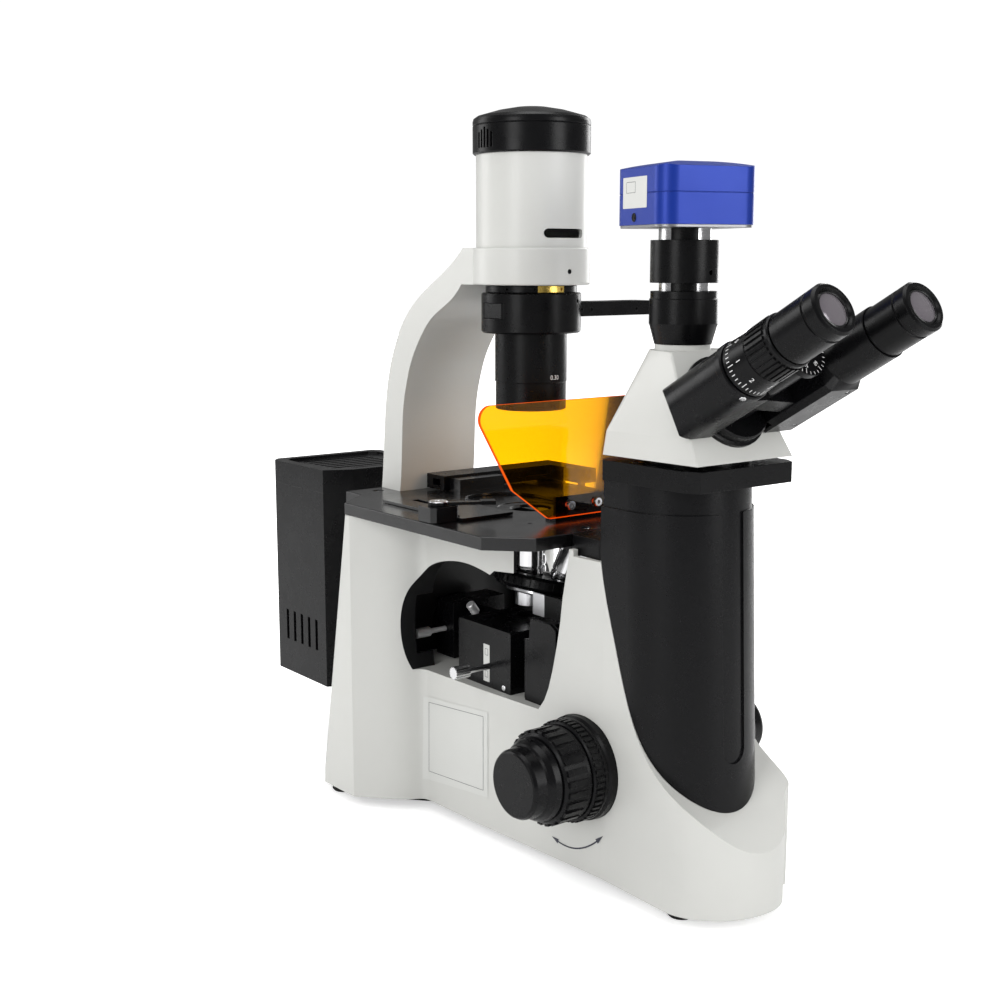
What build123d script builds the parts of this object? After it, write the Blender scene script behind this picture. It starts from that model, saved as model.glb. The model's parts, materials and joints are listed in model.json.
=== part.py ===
from build123d import *
from math import atan2, cos, degrees, pi, radians, sin, sqrt, tan
import os

# Inverted trinocular microscope with transmitted and fluorescence light.
# Millimetres, +Z up, -Y towards the operator, +X to the operator's right.
# Heights are measured from the bench. Plan sizes are measured from the
# optical axis of the objective, which stands AXIS_Y behind the origin.
AXIS_Y = 11.3

# Clearances
slip = 0.05
play = 0.3

# Base casting
foot_height = 7.4
casting_bottom = foot_height
waist_half = 46.0
nose_half = 47.0
nose_shoulder_y = -190.0
nose_front_y = -232.5
pillar_y = -132.0
flank_half = 54.0
flank_y = -11.0
flare_half = 56.0
flare_y = 49.0
rear_half = 97.0
rear_corner_y = 90.0
rear_foot_y = 131.0
rear_back_y = 158.0
casting_wall = 9.0
bay_half = 44.0
lip_half = 49.3
recess_half = 58.0
bay_back_y = 95.0
bay_floor = 108.0
chamber_top = 98.0
chamber_front_y = -158.0
pillar_top = 218.0
pillar_front_y = -128.0
pillar_back_y = -112.0
edge_top_y = -100.0
foot_radius = 9.0
front_foot = (30.0, -190.0)
rear_foot = (84.0, 126.0)
bottom_plate_thickness = 2.0

# Stage
stage_top = 230.9
stage_thickness = 8.7
stage_half = 95.7
stage_front_y = -94.0
stage_chamfer = 25.0
stage_side_back_y = 98.4
tail_half = 66.7
tail_front_y = 122.4
tail_back_y = 143.5
insert_radius = 55.0
insert_thickness = 2.5
insert_ledge = 5.0
insert_bore = 15.0
specimen_seat = 24.0
accessory_hole = (40.7, -50.0)
accessory_hole_radius = 1.65
cap_screw_head = 4.25
cap_screw_shank = 2.5
cap_screw_depth = 5.2
stage_front_screw = (21.0, -86.0)
stage_rear_screw = (46.0, 130.0)

# Illumination arm and lamp
arm_half = 34.5
collar_radius = 41.0
collar_bottom = 389.2
collar_top = 414.5
lamp_radius = 38.5
lamp_wall = 3.0
lamp_top = 477.5
cap_radius = 40.8
cap_side = 19.3
cap_rim = 4.6
cap_crown = 8.3
cap_seam = lamp_top + cap_side
cap_shoulder = cap_seam + cap_rim
cap_top = cap_shoulder + cap_crown
cap_wall = 2.6

# Condenser
condenser_radius = 35.0
condenser_bottom = 356.0
condenser_top = 383.7
condenser_tube_radius = 25.4
condenser_tube_bottom = 302.4
slider_half_width = 11.0
slider_bottom = 366.5
slider_height = 10.2
slider_left_x = -34.0
slider_right_x = 108.0
slider_pitch = 42.0

# Front cover, head and photo tube
cover_radius = 46.0
cover_centre_y = -158.0
cover_lean = 10.0
cover_wall = 3.6
cover_relief = 1.2
cover_lip = 254.0
cover_foot = 40.0
cover_top = 271.0
channel_half = 9.2
channel_end = 106.0
head_plate_top = 283.7
head_bottom = 287.0
head_top = 351.4
head_front_y = -207.0
head_back_y = -129.0
head_front_half = 41.7
head_back_half = 47.8
photo_y = -150.9
photo_bore = 12.6
neck_radius = 17.4

# Binocular tubes, measured along and across the 30 degree tube axis
tube_angle = 30.0
hub_z = 317.3
hub_rise = 4.2
hub_radius = 30.0
hub_height = 9.0
tube_offset = 38.0
barrel_radius = 17.6
barrel_end = 52.0
barrel_collar = 18.4
barrel_collar_end = 57.0
box_end = 59.0
box_half = 18.4
sleeve_radius = 13.6
sleeve_bore = 11.65
left_sleeve_end = 94.0
right_sleeve_end = 97.0
right_sleeve_radius = 16.5
eyepiece_radius = 15.6
dial_radius = 16.5
dial_level = 66.0
eyepiece_end = 128.3
eyepiece_depth = 24.0

# Camera
camera_side = 66.0
camera_corner = 11.0
camera_turn = -16.4
camera_bottom = 427.0
camera_top = 461.0
camera_crown = 4.5

# Focus drive
focus_y = -113.0
focus_z = 79.0
flange_radius = 34.6
flange_seat_x = 45.0
flange_face_x = 53.0
tension_end_x = 63.5
coarse_end_x = 84.5
fine_end_x = 104.0
coarse_shaft_radius = 4.6
fine_shaft_radius = 3.0
pinion_teeth = 12
pinion_module = 1.0

# Nosepiece
turret_tilt = 14.0
turret_yaw = 90.0
seat_radius = 17.0
seat_height = 183.0
turret_radius = 39.0
turret_depth = 12.0

# Fluorescence illuminator
filter_box_half = 46.0
filter_box_front_y = -36.0
filter_box_back_y = 25.0
filter_box_top = 152.0
light_tube_radius = 20.0
light_neck_radius = 16.5
light_tube_z = 130.0
lamp_house_half = 53.0
lamp_house_front_y = 191.0
lamp_house_back_y = 287.0
lamp_house_bottom = 58.0
lamp_house_top = 220.0
lamp_lid_top = 239.0

BASE = (Align.CENTER, Align.CENTER, Align.MIN)
CENTRE = (Align.CENTER, Align.CENTER, Align.CENTER)


def save(name, part):
    """Write one node, moved from the optical axis to the part's origin."""
    os.makedirs("parts", exist_ok=True)
    export_step(Pos(0, AXIS_Y, 0) * part, f"parts/{name}.step")


def rod(radius, bottom, top, x=0.0, y=0.0):
    """Upright cylinder between two heights."""
    return Pos(x, y, bottom) * Cylinder(radius, top - bottom, align=BASE)


def tube(outer, inner, bottom, top, x=0.0, y=0.0):
    """Upright ring between two heights."""
    return rod(outer, bottom, top, x, y) - rod(inner, bottom - 1, top + 1, x, y)


def block(x, y, z):
    """Box between two corners, given as a pair for each axis."""
    size = (x[1] - x[0], y[1] - y[0], z[1] - z[0])
    middle = ((x[0] + x[1]) / 2, (y[0] + y[1]) / 2, (z[0] + z[1]) / 2)
    return Pos(*middle) * Box(*size, align=CENTRE)


def turned(points):
    """Solid of revolution about Z from (radius, height) points."""
    return revolve(Plane.XZ * make_face(Polyline(*points, close=True)), Axis.Z)


def prism(points, bottom, top):
    """Upright prism over a plan outline."""
    face = make_face(Polyline(*points, close=True))
    return Pos(0, 0, bottom) * extrude(face, top - bottom)


def mirrored(points):
    """Plan outline from its right half, given from front to back."""
    return list(points) + [(-x, y) for x, y in reversed(points)]


def side_prism(points, half):
    """Prism across X over an outline in Y and Z."""
    face = Plane.YZ * make_face(Polyline(*points, close=True))
    return extrude(face, half, both=True)


def ribbed(count, root, tip, share, bottom, top):
    """Prism with even ribs, as on a grip ring."""
    points = []
    step = 2 * pi / count
    for i in range(count):
        for radius, turn in ((root, -0.5), (root, -share / 2), (tip, -share / 2), (tip, share / 2), (root, share / 2)):
            angle = step * (i + turn)
            points.append((radius * cos(angle), radius * sin(angle)))
    return prism(points, bottom, top)


def to_left(part, y=focus_y, z=focus_z):
    """Lay a part that was made along +Z on the cross shaft, pointing to -X."""
    return Pos(0, y, z) * Rot(0, -90, 0) * part


def to_right(part, y=focus_y, z=focus_z):
    """Lay a part that was made along +Z on the cross shaft, pointing to +X."""
    return Pos(0, y, z) * Rot(0, 90, 0) * part


def cap_screw(top, length, x, y):
    """Socket head screw whose head ends just below a surface."""
    head_top = top - 0.6
    head_bottom_z = top - cap_screw_depth
    head = rod(cap_screw_head - 0.25, head_bottom_z, head_top, x, y)
    socket = Pos(x, y, head_top - 2.5) * extrude(RegularPolygon(2.0, 6), 3)
    return head + rod(cap_screw_shank, head_bottom_z - length, head_bottom_z, x, y) - socket


# Base casting

bay_front_line = [(pillar_back_y, 240), (pillar_back_y, pillar_top), (-93.0, 127.0), (-86.0, bay_floor)]
bay_edge_line = [
    (edge_top_y, 240),
    (edge_top_y, pillar_top),
    (-94.3, 188.6),
    (-92.1, 171.4),
    (-89.1, 155.0),
    (-85.3, 138.3),
    (-81.4, 124.8),
    (-77.4, 115.8),
    (-71.7, bay_floor),
]
scoop_line = [
    (pillar_front_y + 1, 213.8),
    (pillar_front_y, 209.5),
    (-134.0, 182.3),
    (-142.0, 157.3),
    (-152.0, 127.3),
    (-164.0, 101.3),
    (-180.0, 81.5),
    (-204.0, 66.5),
    (nose_front_y, 48.0),
    (-250.0, 36.5),
]
scoop_sag = 0.006


def scoop_cutter():
    """Everything above the dished face that carries the front cover."""
    half = 58.0
    steps = 8
    rows = []
    for y, z in scoop_line:
        xs = [half * (2 * i / steps - 1) for i in range(steps + 1)]
        rows.append([Vector(x, y, z + scoop_sag * x * x) for x in xs])
    face = Face.make_surface_from_array_of_points(rows, tol=0.05, smoothing=None)
    return Solid.extrude(face, Vector(0, 0, 330))


def bay_window():
    """The side opening: arched behind, slanted in front, open to the stage."""
    top = stage_top + 9
    arch = Spline(
        (58.5, bay_floor),
        (61.6, 122.6),
        (63.0, 143.0),
        (60.4, 165.5),
        (51.3, 183.5),
        (40.3, 190.1),
        (22.5, 194.8),
        (7.0, 196.2),
        (-8.0, 195.1),
        (-22.0, 192.2),
    )
    frame = Polyline(
        (-22.0, 192.2),
        (-26.5, 195.6),
        (-46.6, 197.3),
        (-46.6, top),
        (edge_top_y, top),
        *bay_edge_line[1:],
        (58.5, bay_floor),
    )
    face = make_face([arch, *frame.edges()])
    window = extrude(Plane.YZ * face, rear_half + 10, both=True)
    # The right side opens up to the stage, so that the tilted objectives pass.
    return window + block((bay_half - 2, rear_half), (-52, 46), (170, top))


def rear_level(corner_y, back_half, back_y):
    """Plan of the flared rear at one level."""
    right = Spline(
        (flare_half, flare_y),
        (flare_half + 9, flare_y + 10),
        (rear_half, rear_corner_y),
        tangents=[(0, 1), (0.75, 0.66)],
    )
    left = mirror(right, Plane.YZ)
    back = Polyline(
        (rear_half, rear_corner_y),
        (rear_half + 1.0, corner_y),
        (back_half, back_y),
        (-back_half, back_y),
        (-rear_half - 1.0, corner_y),
        (-rear_half, rear_corner_y),
    )
    front = Line((-flare_half, flare_y), (flare_half, flare_y))
    return make_face([front, right, *back.edges(), left])


def chamber_plan(inset):
    """Plan of the hollow lower chamber, inset from the casting's outside."""
    return mirrored(
        [
            (waist_half - inset, chamber_front_y),
            (waist_half - inset, pillar_y),
            (flank_half - inset, flank_y),
            (flare_half - inset, flare_y + inset / 3),
            (rear_half - inset - 3, rear_corner_y + inset / 3),
            (rear_half - inset - 3, rear_foot_y - inset),
            (rear_half - 12 - inset, rear_back_y - inset - 3),
        ]
    )


def make_base_casting():
    casting_top = stage_top - stage_thickness
    nose = Spline(
        (-nose_half, nose_shoulder_y),
        (-40.2, -211.0),
        (-23.5, -226.2),
        (0, nose_front_y),
        (23.5, -226.2),
        (40.2, -211.0),
        (nose_half, nose_shoulder_y),
        tangents=[(0, -1), (0, 1)],
    )
    flanks = Polyline(
        (nose_half, nose_shoulder_y),
        (waist_half, pillar_y),
        (flank_half, flank_y),
        (flare_half, flare_y),
        (-flare_half, flare_y),
        (-flank_half, flank_y),
        (-waist_half, pillar_y),
        (-nose_half, nose_shoulder_y),
    )
    front = Pos(0, 0, casting_bottom) * extrude(
        make_face([nose, *flanks.edges()]), casting_top - casting_bottom
    )
    foot = Pos(0, 0, casting_bottom) * rear_level(rear_foot_y, rear_half - 15, rear_back_y)
    head = Pos(0, 0, casting_top) * rear_level(rear_corner_y + 4, tail_half, tail_back_y)
    body = front + loft([foot, head], ruled=True)
    body -= scoop_cutter()
    body -= bay_window()
    bay = [*bay_front_line, (bay_back_y, bay_floor), (bay_back_y, 240)]
    body -= side_prism(bay, bay_half)
    # Wider hollow round the light tube, behind the arched edge.
    body -= block((-recess_half, recess_half), (61, bay_back_y), (bay_floor, 196))
    # Thin lip behind the nosepiece, where the wall ends under the stage.
    body -= block((-lip_half, lip_half), (-60, -12), (bay_floor + 52, 240))
    chamber = prism(chamber_plan(casting_wall), casting_bottom - 1, chamber_top)
    for side in (-1, 1):
        chamber -= rod(foot_radius + 3, casting_bottom - 2, 40, side * rear_foot[0], rear_foot[1])
    body -= chamber
    body -= block((-60, 60), (pillar_front_y - 12, pillar_back_y + 8), (pillar_top, casting_top + 2))
    # Round pockets that seat the focus flanges, and the shaft bearing.
    pocket = rod(flange_radius + play, flange_seat_x, 70)
    body -= to_left(pocket) + to_right(pocket)
    body -= to_right(rod(coarse_shaft_radius + slip, -70, 70))
    # Slot for the lift post of the nosepiece.
    body -= block((-lift_half - 1, lift_half + 1), (slide_front_y - 1, slide_back_y + 1), (90, bay_floor + 5))
    # Bore for the fluorescence light tube.
    body -= Pos(0, 60, light_tube_z) * Rot(-90, 0, 0) * Cylinder(light_tube_radius + play, 120, align=BASE)
    # Rear recess for the power inlet and the switch, and the knob shaft hole.
    body -= block((inlet_x[0], switch_x[1]), (rear_back_y - 34, rear_back_y + 5), inlet_z)
    body -= to_right(rod(3.0 + slip, flank_half - 20, 70), dial_y, dial_z)
    for x in (-stage_rear_screw[0], stage_rear_screw[0]):
        body -= rod(cap_screw_shank, casting_top - 15, casting_top + 1, x, stage_rear_screw[1])
    return body


# Rear fittings and dimmer
inlet_x = (-42.0, -14.0)
switch_x = (-8.0, 14.0)
inlet_z = (30.0, 52.0)
dial_y = 5.0
dial_z = 62.0

# Nosepiece slide, a dovetail in the focus block
slide_half = 14.0
slide_taper = 4.0
slide_front_y = -56.0
slide_back_y = -46.0
slide_bottom = 114.0
slide_top = 164.5
block_top = 150.0
lift_half = 5.0
lift_arm = (84.0, 90.0)


def make_bottom_plate():
    plate = prism(chamber_plan(casting_wall - 5), casting_bottom - bottom_plate_thickness, casting_bottom)
    for y in (-120, 0, 110):
        plate -= block((-16, 16), (y - 2, y + 2), (0, 10))
    for side in (-1, 1):
        plate -= rod(foot_radius + play, 0, 10, side * rear_foot[0], rear_foot[1])
    return plate


def make_feet():
    feet = []
    for x, y in (front_foot, rear_foot):
        for side in (-1, 1):
            foot = turned(
                [(0, 0), (foot_radius - 1.2, 0), (foot_radius, 1.4), (foot_radius - 0.6, foot_height), (0, foot_height)]
            )
            feet.append(Pos(side * x, y, 0) * foot)
    return Compound(feet)


# Front cover


def cover_section(inset, level):
    """Rounded front and straight flanks in plan, at one level."""
    radius = cover_radius - inset
    centre_y = cover_centre_y + cover_lean * (level - cover_foot) / (cover_top - cover_foot) - 3.0
    front = ThreePointArc((-radius, centre_y), (0, centre_y - radius), (radius, centre_y))
    back_y = pillar_front_y - inset
    flanks = Polyline((radius, centre_y), (radius, back_y), (-radius, back_y), (-radius, centre_y))
    return Pos(0, 0, level) * make_face([front, *flanks.edges()])


def cover_solid(inset, top, foot=None):
    """The leaning cover's outside, inset all round, up to one level."""
    foot = cover_foot if foot is None else foot
    return loft([cover_section(inset, foot), cover_section(inset, top)], ruled=True)


def make_front_cover():
    core = cover_solid(cover_relief, cover_top)
    shell = cover_solid(0, cover_lip)
    front_y = cover_centre_y - cover_radius
    channel = block((-channel_half, channel_half), (front_y - 8, front_y + 16), (channel_end, cover_lip + 2))
    channel += Pos(0, front_y - 8, channel_end) * Rot(-90, 0, 0) * Cylinder(channel_half, 24, align=BASE)
    body = core + (shell - channel)
    body -= cover_solid(cover_relief + cover_wall, cover_top - 4, cover_foot - 1)
    body &= Pos(0, -0.2, 0.2) * scoop_cutter()
    # The opening for the imaging light in the closed top.
    body -= rod(photo_bore, cover_top - 10, cover_top + 1, 0, photo_y)
    return body


# Stage


def make_stage_bracket():
    top = stage_top
    front_y = pillar_front_y + play
    beam = block((-43, 43), (front_y, stage_front_y - play), (pillar_top, top))
    beam = fillet(beam.edges().filter_by(Axis.Z), 5)
    tongue = block((-36, 36), (stage_front_y - 14, stage_front_y + 16), (pillar_top, top - stage_thickness))
    part = beam + tongue
    for x in (-stage_front_screw[0], stage_front_screw[0]):
        part -= rod(cap_screw_shank, pillar_top - 1, top, x, stage_front_screw[1])
    return part


def make_stage_plate():
    bottom = stage_top - stage_thickness
    outline = mirrored(
        [
            (stage_half - stage_chamfer, stage_front_y),
            (stage_half, stage_front_y + stage_chamfer),
            (stage_half, stage_side_back_y),
            (tail_half, tail_front_y),
            (tail_half, tail_back_y),
        ]
    )
    plate = prism(outline, bottom, stage_top)
    plate -= rod(insert_radius - insert_ledge, bottom - 1, stage_top + 1)
    plate -= rod(insert_radius + slip, stage_top - insert_thickness, stage_top + 1)
    for x, y in (stage_front_screw, stage_rear_screw):
        for side in (-1, 1):
            plate -= rod(cap_screw_shank, bottom - 1, stage_top + 1, side * x, y)
            plate -= rod(cap_screw_head, stage_top - cap_screw_depth, stage_top + 1, side * x, y)
    for side in (-1, 1):
        x, y = accessory_hole
        plate -= rod(accessory_hole_radius, bottom - 1, stage_top + 1, side * x, y)
    return chamfer(plate.edges().group_by(Axis.Z)[-1].filter_by(GeomType.LINE), 0.6)


def make_stage_insert():
    disc = tube(insert_radius, insert_bore, stage_top - insert_thickness, stage_top)
    disc -= rod(specimen_seat, stage_top - 0.4, stage_top + 1)
    lift_slot = Pos(insert_radius, 0, stage_top - insert_thickness) * Box(9, 6, 10, align=CENTRE)
    return disc - lift_slot


def make_stage_screws():
    screws = []
    for side in (-1, 1):
        for x, y in (stage_front_screw, stage_rear_screw):
            screws.append(cap_screw(stage_top, 3.2, side * x, y))
    return screws


# Orange light shield
shield_y = -58.0
shield_thickness = 3.0
shield_screw_x = 12.0
shield_screw_z = 241.6


def make_shield_bracket():
    back = shield_y + shield_thickness
    upright = block((-22, 22), (back, back + 2.5), (stage_top, shield_screw_z + 6))
    foot = block((-22, 22), (back, back + 11), (stage_top, stage_top + 2.5))
    part = upright + foot
    for x in (-shield_screw_x, shield_screw_x):
        part -= Pos(x, back - 1, shield_screw_z) * Rot(-90, 0, 0) * Cylinder(1.6, 10, align=BASE)
    return part


def make_light_shield():
    outline = mirrored([(30, stage_top + 2.8), (61, 256), (94.5, 313.5)])
    face = make_face(Polyline(*outline, close=True))
    top_corners = face.vertices().group_by(Axis.Y)[-1]
    face = fillet(top_corners, 9)
    face = fillet(face.vertices().group_by(Axis.Y)[0], 5)
    sheet = Pos(0, shield_y + shield_thickness, 0) * extrude(Plane.XZ * face, shield_thickness)
    for x in (-shield_screw_x, shield_screw_x):
        sheet -= Pos(x, shield_y - 1, shield_screw_z) * Rot(-90, 0, 0) * Cylinder(1.6, 10, align=BASE)
    return sheet


def make_shield_screws():
    screw = turned([(0, -2.4), (3.0, -2.4), (3.2, -1.2), (3.2, 0), (1.6, 0), (1.6, 5.4), (0, 5.4)])
    screw -= Pos(0, 0, -2.5) * extrude(RegularPolygon(1.5, 6), 1.5)
    return [Pos(x, shield_y, shield_screw_z) * Rot(-90, 0, 0) * screw for x in (-shield_screw_x, shield_screw_x)]


# Illumination arm and lamp


def make_illumination_arm():
    outer = Spline(
        (tail_back_y - 1, stage_top),
        (138.7, 268.5),
        (135.1, 299.9),
        (129.7, 323.3),
        (121.6, 342.7),
        (107.6, 363.4),
        (92.1, 377.1),
        (61.7, 395.0),
        (34.0, collar_top),
    )
    inner = Spline(
        (36.0, collar_bottom),
        (48.9, 378.0),
        (74.8, 363.0),
        (88.0, 349.4),
        (100.2, 331.0),
        (105.8, 317.2),
        (110.2, 301.8),
        (113.5, 271.0),
        (117.1, stage_top),
    )
    ends = [
        Line((34.0, collar_top), (0, collar_top)),
        Line((0, collar_top), (0, collar_bottom)),
        Line((0, collar_bottom), (36.0, collar_bottom)),
        Line((117.1, stage_top), (tail_back_y - 1, stage_top)),
    ]
    arm = extrude(Plane.YZ * make_face([outer, inner, *ends]), arm_half, both=True)
    collar = rod(collar_radius, collar_bottom, collar_top)
    collar = fillet(collar.edges().filter_by(GeomType.CIRCLE), 1.5)
    body = arm + collar
    body -= rod(neck_bore, collar_bottom - 1, collar_top + 1)
    body -= rod(lamp_radius - lamp_wall, collar_top - 6, collar_top + 1)
    body -= Pos(0.5, 0, (collar_bottom + collar_top) / 2 - 3.4) * Rot(90, 0, 0) * Cylinder(1.7, 60, align=BASE)
    return body


neck_bore = 24.0
diaphragm_radius = 32.0
diaphragm_gap = 0.5


lens_seat = 431.0
module_seat = 452.0


def make_lamp_housing():
    body = tube(lamp_radius, lamp_radius - lamp_wall, collar_top, lamp_top)
    bore = lamp_radius - lamp_wall
    body += tube(bore - slip, neck_bore, collar_top - 5.5, collar_top + 2.5)
    body += tube(bore, 28, lens_seat - 2.5, lens_seat) + tube(bore, 28, module_seat - 3, module_seat)
    slot_z = 424.0
    slot = extrude(Plane.XZ * SlotOverall(34, 6.2), 60)
    return body - Pos(0, 0, slot_z) * slot


def make_lamp_cap():
    outside = turned(
        [
            (0, cap_top),
            (12, cap_top - 0.4),
            (24, cap_top - 2.6),
            (cap_radius - 3.2, cap_shoulder + 1.8),
            (cap_radius - 0.6, cap_shoulder),
            (cap_radius, cap_shoulder - 2),
            (cap_radius, cap_seam + 0.5),
            (cap_radius - 0.6, cap_seam),
            (cap_radius, cap_seam - 0.5),
            (cap_radius, lamp_top + 1),
            (cap_radius - 1, lamp_top),
            (0, lamp_top),
        ]
    )
    inner = turned(
        [
            (0, lamp_top - 1),
            (lamp_radius - 2, lamp_top - 1),
            (lamp_radius - 2, cap_shoulder - 2),
            (0, cap_top - cap_wall - 1),
        ]
    )
    body = outside - inner
    # Arched louvres on both sides.
    for side in (0, 180):
        for i in range(-2, 3):
            height = 13.5 - 1.6 * abs(i)
            cut = Rot(0, 0, side) * Pos(cap_radius - 4, i * 3.4, lamp_top + 3.5) * Box(10, 1.9, height, align=BASE)
            body -= cut
    # Radial grooves of the heat sink pattern on the crown.
    for i in range(16):
        body -= Rot(0, 0, i * 22.5) * Pos(25, 0, cap_top - 2.2) * Rot(0, 11, 0) * Box(17, 1.4, 3, align=BASE)
    return body


def make_lamp_module():
    body = rod(lamp_radius - lamp_wall - play, module_seat, module_seat + 4)
    body += rod(9, module_seat - 7, module_seat)
    for i in range(-4, 5):
        length = 2 * sqrt((lamp_radius - lamp_wall - 2) ** 2 - (i * 7) ** 2)
        body += Pos(0, i * 7, module_seat + 4) * Box(length, 1.6, 16, align=BASE)
    return body


def make_collector_lens():
    edge = lamp_radius - lamp_wall - play
    z = lens_seat
    return turned([(0, z + 12), (12, z + 10), (22, z + 5.5), (28, z + 2.5), (edge, z + 2.5), (edge, z), (0, z)])


# Condenser


def make_condenser_block():
    body = turned(
        [
            (0, condenser_top),
            (condenser_radius - 0.8, condenser_top),
            (condenser_radius, condenser_top - 0.8),
            (condenser_radius, condenser_bottom + 1.2),
            (condenser_radius - 1.2, condenser_bottom),
            (0, condenser_bottom),
        ]
    )
    body += rod(neck_bore - slip, condenser_top, collar_top - 5.5)
    body -= rod(17, condenser_bottom - 1, collar_top)
    gap = play
    body -= block(
        (-50, 50),
        (-slider_half_width - gap, slider_half_width + gap),
        (slider_bottom - gap, slider_bottom + slider_height + gap),
    )
    body -= Rot(0, 0, -61) * Pos(condenser_radius - 4, 0, 378) * Rot(0, 90, 0) * Cylinder(1.5, 6, align=BASE)
    return body


def make_condenser_tube():
    top = condenser_bottom
    return turned(
        [
            (17, top),
            (condenser_tube_radius, top),
            (condenser_tube_radius, top - 34),
            (condenser_tube_radius - 0.5, top - 34.4),
            (condenser_tube_radius - 0.5, condenser_tube_bottom + 0.6),
            (condenser_tube_radius - 1.1, condenser_tube_bottom),
            (19.5, condenser_tube_bottom),
            (18.4, condenser_tube_bottom + 4),
            (18.4, condenser_tube_bottom + 9),
            (17, condenser_tube_bottom + 9),
        ]
    )


def make_condenser_lens():
    z = condenser_tube_bottom + 4
    return turned([(0, z - 1.5), (10, z - 0.9), (18.35, z + 0.6), (18.35, z + 5), (0, z + 5)])


def make_phase_slider():
    bar = block(
        (slider_left_x, slider_right_x),
        (-slider_half_width, slider_half_width),
        (slider_bottom, slider_bottom + slider_height),
    )
    bar = chamfer(bar.edges().filter_by(Axis.Z), 1.5)
    for i in range(3):
        x = i * slider_pitch
        bar -= rod(8.0, slider_bottom - 1, slider_bottom + slider_height + 1, x)
        bar -= rod(9.0, slider_bottom + 4, slider_bottom + slider_height + 1, x)
    for x in (37.0, 46.5, 90.0):
        bar -= Pos(x, -slider_half_width - 1, slider_bottom + 5) * Rot(-90, 0, 0) * Cylinder(1.3, 4, align=BASE)
    return bar


def make_diaphragm_ring():
    bottom = condenser_top + diaphragm_gap
    top = collar_bottom - diaphragm_gap
    ring = tube(diaphragm_radius, neck_bore + slip, bottom, top)
    for turn in (200, 236, 272):
        hole = Pos(diaphragm_radius - 3, 0, (bottom + top) / 2) * Rot(0, 90, 0) * Cylinder(0.9, 4, align=BASE)
        ring -= Rot(0, 0, turn) * hole
    return ring


# Head and photo tube


def make_head_plate():
    outline = mirrored(
        [
            (head_front_half - 2, head_front_y - 1),
            (head_front_half + 3, head_front_y + 7),
            (head_back_half, head_back_y - 2),
            (head_back_half - 4, head_back_y + 2),
        ]
    )
    plate = prism(outline, cover_top, head_plate_top)
    plate += rod(34, head_plate_top, head_bottom, 0, photo_y - 14)
    return plate - rod(photo_bore, cover_top - 1, head_bottom + 1, 0, photo_y)


def head_section(level, front_half, back_half, back_y, rounding):
    """Plan of the head at one level; the front leans by the tube angle."""
    front_y = head_front_y + (level - head_bottom) * tan(radians(tube_angle))
    face = make_face(Polyline(*mirrored([(front_half, front_y), (back_half, back_y)]), close=True))
    corners = face.vertices().sort_by(Axis.Y)
    face = fillet(corners[-2:], rounding)
    return Pos(0, 0, level) * fillet(face.vertices().sort_by(Axis.Y)[:2], 1.5)


def make_head_body():
    sections = [
        head_section(head_bottom, head_front_half, head_back_half, head_back_y, 3.0),
        head_section(302.0, 39.0, 46.9, head_back_y - 0.6, 5.0),
        head_section(head_top, 29.0, 19.0, -134.5, 18.4),
    ]
    body = loft(sections, ruled=True)
    body += rod(neck_radius, head_top - 20, photo_base, 0, photo_y)
    body -= rod(photo_bore, head_bottom - 1, photo_base + 1, 0, photo_y)
    rod_hole = Pos(8, splitter_y, splitter_z) * Rot(0, 90, 0) * Cylinder(2.5 + slip, 52, align=BASE)
    return body - rod_hole


head_front_top_y = head_front_y + (head_top - head_bottom) * tan(radians(tube_angle))
photo_base = 354.8
photo_ring = 387.2
splitter_y = -165.0
splitter_z = 312.0


def make_photo_tube():
    tube_body = turned(
        [
            (photo_bore, photo_base),
            (17.8, photo_base),
            (21.3, 367.4),
            (21.3, 382.4),
            (20.7, 382.8),
            (20.7, photo_ring),
            (photo_bore, photo_ring),
        ]
    )
    return Pos(0, photo_y, 0) * tube_body


def make_camera_adapter():
    part = turned(
        [
            (9.5, photo_ring - 24),
            (photo_bore - slip, photo_ring - 24),
            (photo_bore - slip, photo_ring + 0.1),
            (15.5, photo_ring + 0.1),
            (15.5, 392.3),
            (21.1, 392.3),
            (21.1, 418.2),
            (16.2, 418.2),
            (16.2, camera_bottom - 1.6),
            (9.5, camera_bottom - 1.6),
        ]
    )
    part -= Rot(0, 0, 275) * Pos(16, 0, 398.6) * Rot(0, 90, 0) * Cylinder(1.6, 8, align=BASE)
    return Pos(0, photo_y, 0) * part


def make_camera():
    half = camera_side / 2
    face = RectangleRounded(camera_side, camera_side, camera_corner)
    body = Pos(0, 0, camera_bottom) * extrude(face, camera_top + camera_crown - camera_bottom)
    # Crowned top: each pair of opposite sides rises to its middle.
    rise_radius = (half**2 + camera_crown**2) / (2 * camera_crown)
    centre_z = camera_top + camera_crown - rise_radius
    keep = Pos(0, 0, centre_z) * Rot(90, 0, 0) * Cylinder(rise_radius, 80, align=CENTRE)
    keep &= Pos(0, 0, centre_z) * Rot(0, 90, 0) * Cylinder(rise_radius, 80, align=CENTRE)
    body &= keep
    seam = RectangleRounded(camera_side + 2, camera_side + 2, camera_corner)
    seam -= RectangleRounded(camera_side - 0.8, camera_side - 0.8, camera_corner - 0.4)
    body -= Pos(0, 0, 445.5) * extrude(seam, 0.5)
    under = RectangleRounded(camera_side - 1.6, camera_side - 1.6, camera_corner - 1)
    body += Pos(0, 0, camera_bottom - 1.6) * extrude(under, 1.6)
    body -= rod(9.5, camera_bottom - 3, camera_bottom + 6)
    return Pos(0, photo_y, 0) * Rot(0, 0, camera_turn) * body


def make_splitter_rod():
    shaft = rod(2.5, 26, 62)
    knob = turned([(0, 58), (5.2, 58), (6, 59), (6, 66), (5, 67.2), (0, 67.2)])
    return Pos(0, splitter_y, splitter_z) * Rot(0, 90, 0) * (shaft + knob)


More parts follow.
